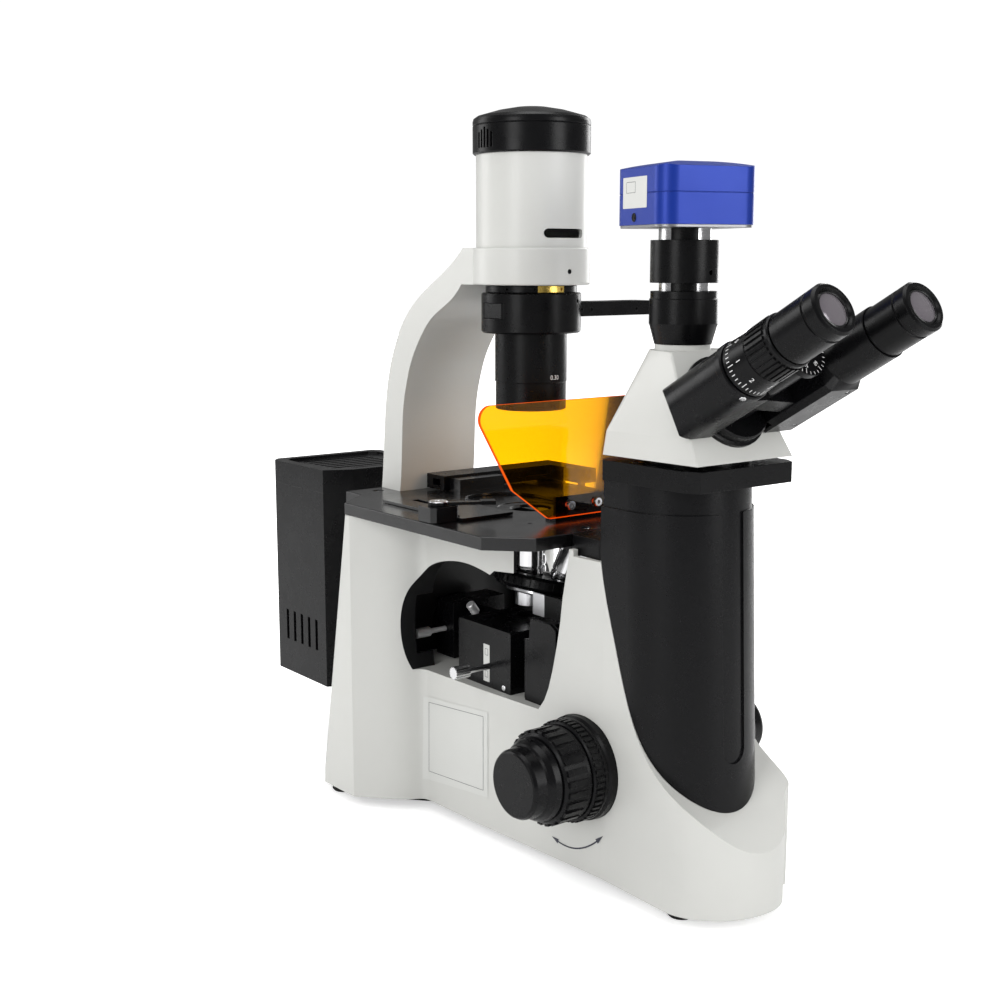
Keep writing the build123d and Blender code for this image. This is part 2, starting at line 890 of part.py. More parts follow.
# Binocular tubes
tube_frame = Plane(
    origin=(0, head_front_y + (hub_z - head_bottom) * tan(radians(tube_angle)), hub_z),
    x_dir=(1, 0, 0),
    z_dir=(0, -cos(radians(tube_angle)), sin(radians(tube_angle))),
).location


def make_hub():
    """Round hinge of the binocular tubes, with its pivot pin."""
    part = turned(
        [
            (0, 0),
            (hub_radius, 0),
            (hub_radius, 2.4),
            (hub_radius - 2, 3),
            (hub_radius - 2, hub_height - 1),
            (hub_radius - 3, hub_height),
            (7, hub_height),
            (7, 30),
            (0, 30),
        ]
    )
    return tube_frame * Pos(0, hub_rise, 0) * part


def link(radius_hub, radius_tube, side, bottom, top):
    """Flat link from the hub to a tube, round at both ends."""
    reach = sqrt(tube_offset**2 + hub_rise**2)
    lean = (radius_tube - radius_hub) / reach
    rise = sqrt(1 - lean**2)
    near = [(-lean * radius_hub, radius_hub * rise), (reach - lean * radius_tube, radius_tube * rise)]
    points = near + [(x, -y) for x, y in reversed(near)]
    slab = prism([(side * x, y) for x, y in points], bottom, top)
    slab += rod(radius_hub, bottom, top)
    slab += rod(radius_tube, bottom, top, side * reach)
    dip = degrees(atan2(hub_rise, tube_offset))
    return Pos(0, hub_rise, 0) * Rot(0, 0, -side * dip) * slab


def make_left_housing():
    x = -tube_offset
    r = barrel_radius
    barrel = rod(r, 1, barrel_end, x)
    # Square towards the middle, round outside.
    barrel += block((x, x + r), (-r, r), (1, barrel_end))
    barrel = chamfer(barrel.edges().filter_by(Axis.Z).group_by(Axis.X)[-1], 3)
    barrel -= Pos(x - r, 0, 1) * Rot(0, 45, 0) * Box(11, 60, 11, align=CENTRE)
    body = barrel + link(15, 16, -1, hub_height + play, 21)
    collar = turned(
        [
            (0, barrel_end - 1),
            (r - 0.6, barrel_end - 1),
            (r - 0.6, barrel_end + 0.4),
            (barrel_collar, barrel_end + 0.4),
            (barrel_collar, barrel_collar_end - 0.8),
            (barrel_collar - 0.8, barrel_collar_end),
            (0, barrel_collar_end),
        ]
    )
    body += Pos(x, 0, 0) * collar + rod(sleeve_radius, barrel_end, left_sleeve_end, x)
    body -= rod(hub_radius + 0.6, 0, hub_height + play, 0, hub_rise)
    body -= rod(7 + slip, 0, 60, 0, hub_rise)
    body -= rod(sleeve_bore, left_sleeve_end - eyepiece_depth - 6, left_sleeve_end + 1, x)
    return tube_frame * body


def make_right_housing():
    x = tube_offset
    half = box_half
    flat = make_face(
        Polyline(
            (x - half, -half + 4),
            (x - half + 4, -half),
            (x + half - 9, -half),
            (x + half, -half + 9),
            (x + half, half - 7),
            (x + half - 7, half),
            (x - half + 5, half),
            (x - half, half - 5),
            close=True,
        )
    )
    body = Pos(0, 0, 1) * extrude(flat, box_end - 1)
    body += Pos(0, 0, box_end) * loft([flat, Pos(x, 0, 4.5) * Circle(right_sleeve_radius)])
    body += rod(right_sleeve_radius, box_end + 4, right_sleeve_end, x)
    # Link to the hinge, and the column that carries the spacing dial.
    body += link(15, 16, 1, 21 + play, 34)
    body += rod(13, 30, dial_level, 0, hub_rise) + rod(dial_radius, dial_level, dial_level + 4, 0, hub_rise)
    body -= rod(hub_radius + 0.6, 0, hub_height + play, 0, hub_rise)
    body -= rod(15.6, 0, 21 + play, 0, hub_rise)
    body -= rod(7 + slip, 0, 30 + play, 0, hub_rise)
    body -= rod(sleeve_bore, right_sleeve_end - eyepiece_depth - 6, right_sleeve_end + 1, x)
    # Flat cover screws on the underside.
    for w in (9, 55):
        body -= Pos(x + half - 9 - 5, -half - 0.1, w) * Rot(-90, 0, 0) * Cylinder(1.6, 0.8, align=BASE)
    return tube_frame * body


def make_diopter_ring():
    x = -tube_offset
    start = barrel_collar_end + play
    bore = sleeve_radius + slip
    ring = turned(
        [
            (bore, start),
            (16.4, start),
            (17.4, start + 1.2),
            (16.6, 74.4),
            (16.0, 74.8),
            (16.0, 90.6),
            (16.6, 91),
            (16.6, left_sleeve_end - 1.2),
            (16.0, left_sleeve_end - play),
            (bore, left_sleeve_end - play),
        ]
    )
    grip = ribbed(30, 15.8, 17.1, 0.55, 75.4, 89.8) - rod(bore, 70, 95)
    return tube_frame * Pos(x, 0, 0) * (ring + grip)


def make_eyepiece(side):
    x = side * tube_offset
    r = eyepiece_radius
    sleeve_end = left_sleeve_end if side < 0 else right_sleeve_end
    part = turned(
        [
            (0, sleeve_end - eyepiece_depth),
            (sleeve_bore - slip, sleeve_end - eyepiece_depth),
            (sleeve_bore - slip, sleeve_end),
            (r - 0.6, sleeve_end),
            (r, sleeve_end + 0.6),
            (r, 118.4),
            (r - 0.7, 118.8),
            (r - 0.7, 120.2),
            (r, 120.6),
            (r, eyepiece_end - 1.4),
            (r - 1.4, eyepiece_end),
            (r - 3.4, eyepiece_end),
            (r - 4.2, eyepiece_end - 1.4),
            (r - 5.2, eyepiece_end - 1.8),
            (0, eyepiece_end - 2.8),
        ]
    )
    return tube_frame * Pos(x, 0, 0) * part


# Focus drive


def make_focus_flange(side):
    lay = to_left if side < 0 else to_right
    hub = 12.0 if side < 0 else 22.0
    part = turned(
        [
            (coarse_shaft_radius + slip, flange_seat_x),
            (flange_radius, flange_seat_x),
            (flange_radius, flange_face_x - 2),
            (flange_radius - 2, flange_face_x),
            (hub, flange_face_x),
            (hub, tension_end_x - play),
            (coarse_shaft_radius + slip, tension_end_x - play),
        ]
    )
    return lay(part)


def make_tension_ring():
    start = flange_face_x + play
    ring = turned(
        [
            (12 + slip, start),
            (33.6, start),
            (33.6, start + 1.6),
            (32.4, start + 2.2),
            (32.4, tension_end_x - 1),
            (31.4, tension_end_x),
            (12 + slip, tension_end_x),
        ]
    )
    grip = ribbed(48, 32.2, 33.6, 0.5, start + 3, tension_end_x - 1.2) - rod(20, 50, 70)
    return to_left(ring + grip)


def make_coarse_knob(side):
    lay = to_left if side < 0 else to_right
    start = tension_end_x + play
    core = turned(
        [
            (coarse_shaft_radius, start),
            (30.2, start),
            (30.8, start + 1),
            (29.4, coarse_end_x - 1.4),
            (28.0, coarse_end_x),
            (coarse_shaft_radius, coarse_end_x),
        ]
    )
    grip = ribbed(26, 28.6, 31.2, 0.55, start + 3.5, coarse_end_x - 2.0) - rod(20, 50, 100)
    return lay(core + grip)


def make_coarse_shaft():
    """Hollow cross shaft of the left coarse knob, with the focus pinion."""
    shaft = rod(coarse_shaft_radius, -coarse_end_x + 1, coarse_end_x)
    root = pinion_module * pinion_teeth / 2 - 1.25
    pitch = pinion_module * pinion_teeth / 2
    tip = pitch + 0.9
    half_widths = ((root, 0.85), (pitch, 0.62), (tip, 0.25))
    points = []
    for i in range(pinion_teeth):
        turn = 2 * pi * (i + 0.5) / pinion_teeth
        flank = [(r, -w) for r, w in half_widths] + [(r, w) for r, w in reversed(half_widths)]
        points += [(r * cos(turn) - w * sin(turn), r * sin(turn) + w * cos(turn)) for r, w in flank]
    gear = prism(points, -4.5, 4.5)
    return Pos(0, focus_y, focus_z) * Rot(0, 90, 0) * Rot(0, 0, 90) * (shaft + gear - rod(fine_shaft_radius + slip, -90, 90))


def make_fine_knob(side):
    lay = to_left if side < 0 else to_right
    start = coarse_end_x + play
    knob = turned(
        [
            (0, start),
            (26.6, start),
            (27.0, start + 1),
            (26.2, start + 5.0),
            (24.4, start + 8.2),
            (23.2, start + 9.5),
            (22.6, fine_end_x - 2.6),
            (21.4, fine_end_x - 0.5),
            (20.4, fine_end_x),
            (0, fine_end_x),
        ]
    )
    if side < 0:
        # The shaft is one piece with the left knob.
        knob += rod(fine_shaft_radius, -fine_end_x + 6, start + 1)
    else:
        knob -= rod(fine_shaft_radius, start - 1, fine_end_x - 6)
    knob -= Pos(24, 0, start + 4.0) * Rot(0, 90, 0) * Cylinder(1.2, 5, align=BASE)
    return lay(knob)


# Nosepiece
seat_reach = seat_radius / sin(radians(turret_tilt))
apex_z = seat_height - seat_reach
disc_height = seat_reach * cos(radians(turret_tilt))
seat_bore = 8.6
turret_frame = Pos(0, 0, apex_z) * Rot(0, 0, turret_yaw) * Rot(turret_tilt, 0, 0)


def dovetail(gap, bottom, top):
    half = slide_half + gap
    points = [
        (-half, slide_front_y - gap),
        (half, slide_front_y - gap),
        (half - slide_taper, slide_back_y + (gap * 2 if gap else 0)),
        (slide_taper - half, slide_back_y + (gap * 2 if gap else 0)),
    ]
    return prism(points, bottom, top)


def make_focus_block():
    """Guide of the nosepiece slide, between two cheeks."""
    front_y = -86.0
    body = block((-41.5, 41.5), (front_y + 0.5, slide_back_y), (bay_floor, block_top))
    body -= dovetail(play, bay_floor - 1, block_top + 1)
    for side in (-1, 1):
        cheek = side_prism([(-83, bay_floor), (-49.5, bay_floor), (-55, 166), (-76.5, 166.3), (-82, 163)], 1.5)
        body += Pos(side * 42.5, 0, 0) * cheek
    return body


def make_nosepiece_carrier():
    """Slide, arm and lower plate of the nosepiece, with the light port."""
    under = disc_height - turret_depth
    plate = turret_frame * turned([(0, under - 3), (27, under - 3), (28, under - 2), (28, under), (0, under)])
    slide = dovetail(0, slide_bottom, slide_top)
    arm = block((-12, 12), (slide_front_y + 1, -18), (slide_top - 7, slide_top + 16))
    lift = block((-lift_half, lift_half), (slide_front_y, slide_back_y), (lift_arm[0], slide_bottom + 1))
    body = plate + slide + arm + lift + rod(11, slide_top - 4, 190)
    body -= turret_frame * rod(80, under, under + 80)
    pin = turret_frame * rod(4, under - 1, disc_height)
    return body + pin - rod(8, 140, 200)


def make_focus_rack():
    """Rack and its foot, screwed to the lift post of the nosepiece."""
    pitch = pi * pinion_module
    pitch_y = focus_y + pinion_module * pinion_teeth / 2
    root_y = pitch_y + 1.15
    back_y = root_y + 5
    low, high = focus_z - 4 * pitch, focus_z + 4 * pitch
    points = [(back_y, low), (root_y, low)]
    for i in range(-3, 4):
        z = focus_z + i * pitch
        points += [(root_y, z - 1.15), (pitch_y - 0.9, z - 0.42), (pitch_y - 0.9, z + 0.42), (root_y, z + 1.15)]
    points += [(root_y, high), (back_y, high)]
    bar = side_prism(points, 4)
    foot = block((-4, 4), (back_y - 1, slide_front_y), lift_arm)
    return bar + foot


def make_turret():
    """Revolving disc with four conical seats for the objectives."""
    slope = tan(radians(turret_tilt))

    def face(radius):
        return disc_height + (seat_radius - radius) * slope

    under = disc_height - turret_depth + play
    edge = turret_radius
    body = turned(
        [
            (0, face(9)),
            (9, face(9)),
            (seat_radius, disc_height),
            (edge - 3, disc_height - 1.2),
            (edge - 1, disc_height - 3.2),
            (edge - 1, under + 2.5),
            (edge - 4, under),
            (0, under),
        ]
    )
    grip = ribbed(36, edge - 1.2, edge, 0.5, under + 3, disc_height - 3.6)
    body += grip
    body -= rod(4 + slip, under - 1, disc_height + 1 + play)
    for i in range(4):
        hole = rod(seat_bore, 50, 120) + rod(11.2, seat_reach, 120)
        body -= Rot(0, 0, 90 * i) * Rot(-turret_tilt, 0, 0) * hole
    return turret_frame * body


def make_objective(index, length, radius, band):
    """One objective on its seat, with a parfocal spring nose."""
    seat = seat_reach
    end = seat + length
    body = turned(
        [
            (0, seat - 4),
            (seat_bore - slip, seat - 4),
            (seat_bore - slip, seat),
            (radius, seat),
            (radius, seat + 4),
            (radius - 0.8, seat + 4.4),
            (radius - 0.8, seat + 5.6),
            (radius, seat + 6),
            (radius, seat + length * band),
            (radius - 2.2, seat + length * band + 2.5),
            (radius - 3.4, end - 3),
            (radius - 6, end),
            (0, end),
        ]
    )
    return turret_frame * Rot(0, 0, 90 * index) * Rot(-turret_tilt, 0, 0) * body


# Fluorescence illuminator
filter_slider_y = -5.0
filter_slider_z = 127.0
filter_rod_y = -21.0


def make_filter_box():
    body = block(
        (-filter_box_half, filter_box_half), (filter_box_front_y, filter_box_back_y), (bay_floor, filter_box_top)
    )
    body = chamfer(body.edges().filter_by(Axis.X).group_by(Axis.Z)[-1], 1.2)
    body -= block((-42, 42), (-27, 17), (112, 148))
    body -= rod(10, 140, filter_box_top + 1)
    body -= Pos(0, 10, light_tube_z) * Rot(-90, 0, 0) * Cylinder(14, 30, align=BASE)
    hole = Pos(-60, filter_rod_y, filter_slider_z) * Rot(0, 90, 0) * Cylinder(2.2 + slip, 30, align=BASE)
    return body - hole


def make_filter_slider():
    """Carriage with two filter blocks and its pull rod."""
    low, high = 112 + play, 148 - play
    cubes = block((-12, 36), (-27 + play, 17 - play), (low, high))
    for x in (0, 24):
        cubes -= rod(9, low - 1, high + 1, x, 0)
        cubes -= Pos(x, 0, light_tube_z) * Rot(-90, 0, 0) * Cylinder(9, 30, align=BASE)
    shaft = Pos(-84, filter_rod_y, filter_slider_z) * Rot(0, 90, 0) * Cylinder(2.2, 74, align=BASE)
    grip = Pos(-84, filter_rod_y, filter_slider_z) * Rot(0, 90, 0) * ribbed(14, 3.8, 4.6, 0.5, 0, 12)
    return cubes + shaft + grip


def make_light_tube():
    def ring(outer, start, end):
        return Pos(0, start, light_tube_z) * Rot(-90, 0, 0) * Cylinder(outer, end - start, align=BASE)

    body = ring(light_tube_radius, 78, lamp_house_front_y) + ring(light_neck_radius, filter_box_back_y, 80)
    body += block((-24, 24), (62, 84), (bay_floor + 1, 152))
    body += ring(30, lamp_house_front_y - 8, lamp_house_front_y)
    body -= ring(14, filter_box_back_y - 1, lamp_house_front_y + 1)
    for turn, y, radius, start, reach in centring_pins:
        body -= Pos(0, y, light_tube_z) * Rot(0, turn, 0) * rod(radius + slip, 10, 60)
    return body


# Turn about the tube, place along it, shank radius, and start and end of the grip.
centring_pins = ((-90, 73.0, 2.0, 38.5, 51.0), (-37, 51.0, 1.8, 18.8, 28.0))


def make_centring_pin(index):
    turn, y, shank, start, end = centring_pins[index]
    grip = shank + 1.7
    pin = rod(shank, 14.8, start + 1)
    pin += turned([(0, start), (grip - 0.4, start), (grip, start + 0.5), (grip, end - 0.6), (grip - 0.5, end), (0, end)])
    return Pos(0, y, light_tube_z) * Rot(0, turn, 0) * pin


def lamp_house_outline(inset):
    half = lamp_house_half - inset
    front = lamp_house_front_y + inset
    back = lamp_house_back_y - inset
    return mirrored([(half - 22.6, front), (half, front + 10.7), (half, back - 6), (half - 6, back)])


def make_lamp_house():
    wall = 3.5
    body = prism(lamp_house_outline(0), lamp_house_bottom, lamp_house_top)
    body -= prism(lamp_house_outline(wall), lamp_house_bottom + wall, lamp_house_top + 1)
    body -= Pos(0, lamp_house_front_y - 1, light_tube_z) * Rot(-90, 0, 0) * Cylinder(14, 10, align=BASE)
    for side in (-1, 1):
        for i in range(5):
            y = 215 + 12 * i
            body -= block(
                (side * lamp_house_half - 5, side * lamp_house_half + 5), (y, y + 4), (86, 112)
            )
    for z in lamp_knob_heights:
        body -= Pos(0, lamp_house_back_y - 10, z) * Rot(-90, 0, 0) * Cylinder(3 + slip, 20, align=BASE)
    return body


lamp_knob_heights = (112.0, 150.0)


def make_lamp_house_lid():
    lid = prism(lamp_house_outline(0), lamp_house_top, lamp_lid_top)
    lid -= prism(lamp_house_outline(3.5), lamp_house_top - 1, lamp_lid_top - 5)
    lid -= prism(lamp_house_outline(8), lamp_lid_top - 2.5, lamp_lid_top + 1)
    for i in range(7):
        y = 212 + 9 * i
        lid -= block((-32, 32), (y, y + 4), (lamp_house_top + 1, lamp_lid_top + 1))
    return lid


def make_arc_lamp():
    y = 240.0
    floor = lamp_house_bottom + 3.5
    socket = rod(16, floor, floor + 22, 0, y) + rod(6, floor + 22, 108, 0, y)
    bulb = Pos(0, y, light_tube_z) * Sphere(8)
    top = rod(5, light_tube_z + 6, 165, 0, y)
    return socket + bulb + top + rod(3, 100, 135, 0, y)


def make_dimmer_knob():
    shaft = rod(3, flank_half - 18, flank_half + 6)
    knob = turned(
        [
            (0, flank_half + 2),
            (12.4, flank_half + 2),
            (13, flank_half + 2.8),
            (12, flank_half + 13),
            (10.6, flank_half + 14.2),
            (0, flank_half + 14.2),
        ]
    )
    return to_right(shaft + knob, dial_y, dial_z)


def make_power_inlet():
    """Power entry block: the inlet and the frame of the switch."""
    z0, z1 = inlet_z
    y0, y1 = rear_back_y - 34, rear_back_y - 3
    body = block((inlet_x[0], switch_x[1]), (y0, y1), (z0, z1))
    body -= block((inlet_x[0] + 3, inlet_x[1] - 3), (y1 - 16, y1 + 1), (z0 + 3, z1 - 3))
    body -= block((switch_x[0] + 2, switch_x[1] - 2), (y1 - 15, y1 + 1), (z0 + 1.2, z1 - 1.2))
    middle = (inlet_x[0] + inlet_x[1]) / 2
    for x, z in ((middle - 7, 39), (middle + 7, 39), (middle, 44)):
        body += block((x - 1, x + 1), (y1 - 17, y1 - 4), (z - 2, z + 2))
    return body


rocker_y = rear_back_y - 6.0
rocker_tilt = -6.0


def make_power_switch():
    """Rocker that tilts on its cross pin in the rear recess."""
    x0, x1 = switch_x
    z0, z1 = inlet_z
    middle = (z0 + z1) / 2
    points = [(rocker_y - 8, middle - 5), (rocker_y + 1.5, z0 + 2.0), (rocker_y + 3.4, z0 + 2.4)]
    points += [(rocker_y + 1.6, middle), (rocker_y + 3.4, z1 - 2.4), (rocker_y + 1.5, z1 - 2.0)]
    points += [(rocker_y - 8, middle + 5)]
    half = (x1 - x0) / 2 - 2.2
    rocker = Pos((x0 + x1) / 2, 0, 0) * side_prism(points, half)
    pin = Pos(0, rocker_y, middle)
    return pin * Rot(rocker_tilt, 0, 0) * pin.inverse() * rocker


# Mechanical stage
beam_z = (232.8, 243.8)
beam_y = (89.0, 111.6)
beam_left_x = -13.0
beam_right_x = 108.0
beam_claw_x = stage_half + 0.3
knob_axis = (100.0, 60.0)


def make_cross_beam():
    body = block((beam_left_x, beam_right_x), beam_y, beam_z)
    body -= block((beam_left_x - 1, beam_left_x + 14), (beam_y[0] + 5, beam_y[1] - 8), (beam_z[0] + 3, beam_z[1] - 3))
    body -= block((beam_left_x + 14, 88), (beam_y[0] - 1, beam_y[0] + 3), (beam_z[0] + 3.5, beam_z[1] - 3.5))
    body += block((beam_claw_x, beam_right_x), beam_y, (stage_top - stage_thickness + 0.8, beam_z[0]))
    body += block((92.5, beam_right_x), (knob_axis[1] - 8, beam_y[0]), beam_z)
    x, y = knob_axis
    return body - rod(3 + slip, beam_z[0] - 1, beam_z[1] + 1, x, y)


def make_specimen_holder():
    plate = block((-73.6, 58), (-18, 81), (stage_top + play, stage_top + play + 2))
    plate -= block((-58, -52), (22, 66), (stage_top - 1, stage_top + 5))
    plate -= rod(30, stage_top - 1, stage_top + 5, 0, 30)
    plate -= block((-30, 30), (-20, 30), (stage_top - 1, stage_top + 5))
    plate += block((-8, 34), (75, beam_y[0] - play), (stage_top + play, beam_z[1] - 1.5))
    low = stage_top + play
    clamp = block((-95, -72), (-14, 6.5), (low, 241.5))
    clamp = chamfer(clamp.edges().filter_by(Axis.Z), 3)
    part = plate + clamp + block((-75, -70), (-10, 6), (low, low + 3))
    x, y = clamp_axis
    return part - rod(2.5 + slip, low - 1, 245, x, y)


clamp_axis = (-83.5, -4.0)


def make_clamp_lever():
    x, y = clamp_axis
    base = 241.5 + play
    body = rod(7, base, base + 2.2, x, y) + rod(2.5, 234, base + 1, x, y)
    arm = Pos(x, y, base) * Rot(0, 0, -29) * Pos(20, 0, 0) * Box(38, 6, 2.0, align=BASE)
    tip = Pos(x, y, base) * Rot(0, 0, -29) * Pos(34, 0, 0) * Box(10, 9, 2.6, align=BASE)
    return body + arm + tip


def make_drive_knob_y():
    x, y = knob_axis
    part = tube(4.4, 2.2, 208, 216, x, y)
    part += tube(3, 2.2 + slip, 214, beam_z[1] - 2, x, y)
    grip = ribbed(20, 8.2, 9, 0.5, 190, 208)
    part += Pos(x, y, 0) * grip
    return part - rod(2.2 + slip, 180, 250, x, y)


def make_drive_knob_x():
    x, y = knob_axis
    part = rod(2.2, 186, beam_z[1], x, y)
    part += Pos(x, y, 0) * ribbed(18, 6.8, 7.6, 0.5, 168, 189.5)
    return part


pieces = {
    "base_casting": make_base_casting,
    "bottom_plate": make_bottom_plate,
    "rubber_feet": make_feet,
    "front_cover": make_front_cover,
    "stage_bracket": make_stage_bracket,
    "stage_plate": make_stage_plate,
    "stage_insert": make_stage_insert,
    "shield_bracket": make_shield_bracket,
    "light_shield": make_light_shield,
    "stage_and_shield_screws": lambda: Compound([*make_stage_screws(), *make_shield_screws()]),
    "illumination_arm": make_illumination_arm,
    "lamp_housing": make_lamp_housing,
    "lamp_cap": make_lamp_cap,
    "lamp_module": make_lamp_module,
    "condenser": lambda: make_condenser_block() + make_condenser_tube(),
    "illumination_lenses": lambda: Compound([make_collector_lens(), make_condenser_lens()]),
    "phase_slider": make_phase_slider,
    "diaphragm_ring": make_diaphragm_ring,
    "head_plate": make_head_plate,
    "head_body": make_head_body,
    "photo_tube": make_photo_tube,
    "camera_adapter": make_camera_adapter,
    "camera": make_camera,
    "splitter_rod": make_splitter_rod,
    "tube_hub": make_hub,
    "left_tube_housing": make_left_housing,
    "right_tube_housing": make_right_housing,
    "diopter_ring": make_diopter_ring,
    "left_eyepiece": lambda: make_eyepiece(-1),
    "right_eyepiece": lambda: make_eyepiece(1),
    "focus_flanges": lambda: Compound([make_focus_flange(-1), make_focus_flange(1)]),
    "tension_ring": make_tension_ring,
    "left_coarse_knob": lambda: make_coarse_knob(-1) + make_coarse_shaft(),
    "right_coarse_knob": lambda: make_coarse_knob(1),
    "left_fine_knob": lambda: make_fine_knob(-1),
    "right_fine_knob": lambda: make_fine_knob(1),
    "focus_block": make_focus_block,
    "nosepiece_carrier": make_nosepiece_carrier,
    "focus_rack": make_focus_rack,
    "nosepiece_turret": make_turret,
    "objective_4x": lambda: make_objective(3, 26, 9.4, 0.45),
    "objective_10x": lambda: make_objective(0, 34, 9.8, 0.6),
    "objective_20x": lambda: make_objective(1, 36, 10.0, 0.7),
    "objective_40x": lambda: make_objective(2, 37, 10.4, 0.8),
    "filter_box": make_filter_box,
    "filter_slider": make_filter_slider,
    "light_tube": make_light_tube,
    "lamp_house": make_lamp_house,
    "lamp_house_lid": make_lamp_house_lid,
    "arc_lamp": make_arc_lamp,
    "left_centring_pin": lambda: make_centring_pin(0),
    "upper_centring_pin": lambda: make_centring_pin(1),
    "cross_beam": make_cross_beam,
    "specimen_holder": make_specimen_holder,
    "clamp_lever": make_clamp_lever,
    "stage_knob_y": make_drive_knob_y,
    "stage_knob_x": make_drive_knob_x,
    "dimmer_knob": make_dimmer_knob,
    "power_inlet": make_power_inlet,
    "power_switch": make_power_switch,
}

for name, make in pieces.items():
    save(name, make())
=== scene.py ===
import json
from math import cos, pi, radians, sin

import bmesh
import bpy
from mathutils import Matrix, Vector


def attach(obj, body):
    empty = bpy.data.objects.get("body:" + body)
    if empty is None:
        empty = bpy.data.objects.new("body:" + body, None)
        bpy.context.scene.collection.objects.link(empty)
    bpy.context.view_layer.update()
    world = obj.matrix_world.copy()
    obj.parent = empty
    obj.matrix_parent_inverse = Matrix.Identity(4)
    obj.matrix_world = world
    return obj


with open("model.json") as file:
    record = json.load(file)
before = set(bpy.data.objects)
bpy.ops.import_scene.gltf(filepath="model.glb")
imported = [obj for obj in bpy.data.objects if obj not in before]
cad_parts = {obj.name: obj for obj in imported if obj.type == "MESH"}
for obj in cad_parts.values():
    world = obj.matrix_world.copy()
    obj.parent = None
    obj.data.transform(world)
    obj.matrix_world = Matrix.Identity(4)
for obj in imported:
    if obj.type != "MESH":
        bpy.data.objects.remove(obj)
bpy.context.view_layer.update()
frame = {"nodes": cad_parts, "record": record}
scene = bpy.context.scene
nodes = frame["nodes"]
scene.view_settings.view_transform = "Standard"

# Sizes in millimetres and turns in radians, as in the solid model.
AXIS_Y = 11.3
PHOTO_Y = -150.9
CAMERA_HALF = 33.0
CAMERA_TURN = radians(-16.4)
TUBE_TURN = radians(30)
TUBE_X, TUBE_RISE = 38.0, 4.2
HUB_Z, HEAD_BOTTOM, HEAD_FRONT_Y = 317.3, 287.0, -207.0
COLLAR_RADIUS, COLLAR_SCREW_LEVEL = 18.4, 54.6
DIAL_TOP = 70.0
EYE_END = 128.3
CONDENSER_RADIUS = 25.4
BOX_SIDE_X = -46.0


def mm(x, y, z):
    """Point given in millimetres from the optical axis, in scene metres."""
    return Vector((x / 1000, (y + AXIS_Y) / 1000, z / 1000))


# Camera

camera_data = bpy.data.cameras.new("camera")
camera_data.lens = 51.48
camera_data.sensor_width = 36
camera_data.clip_start = 0.05
camera = bpy.data.objects.new("camera", camera_data)
camera.location = (-0.6342, -0.7793, 0.4057)
camera.rotation_euler = (radians(80.5), 0, -radians(37.5))
scene.collection.objects.link(camera)
scene.camera = camera


# Material building blocks


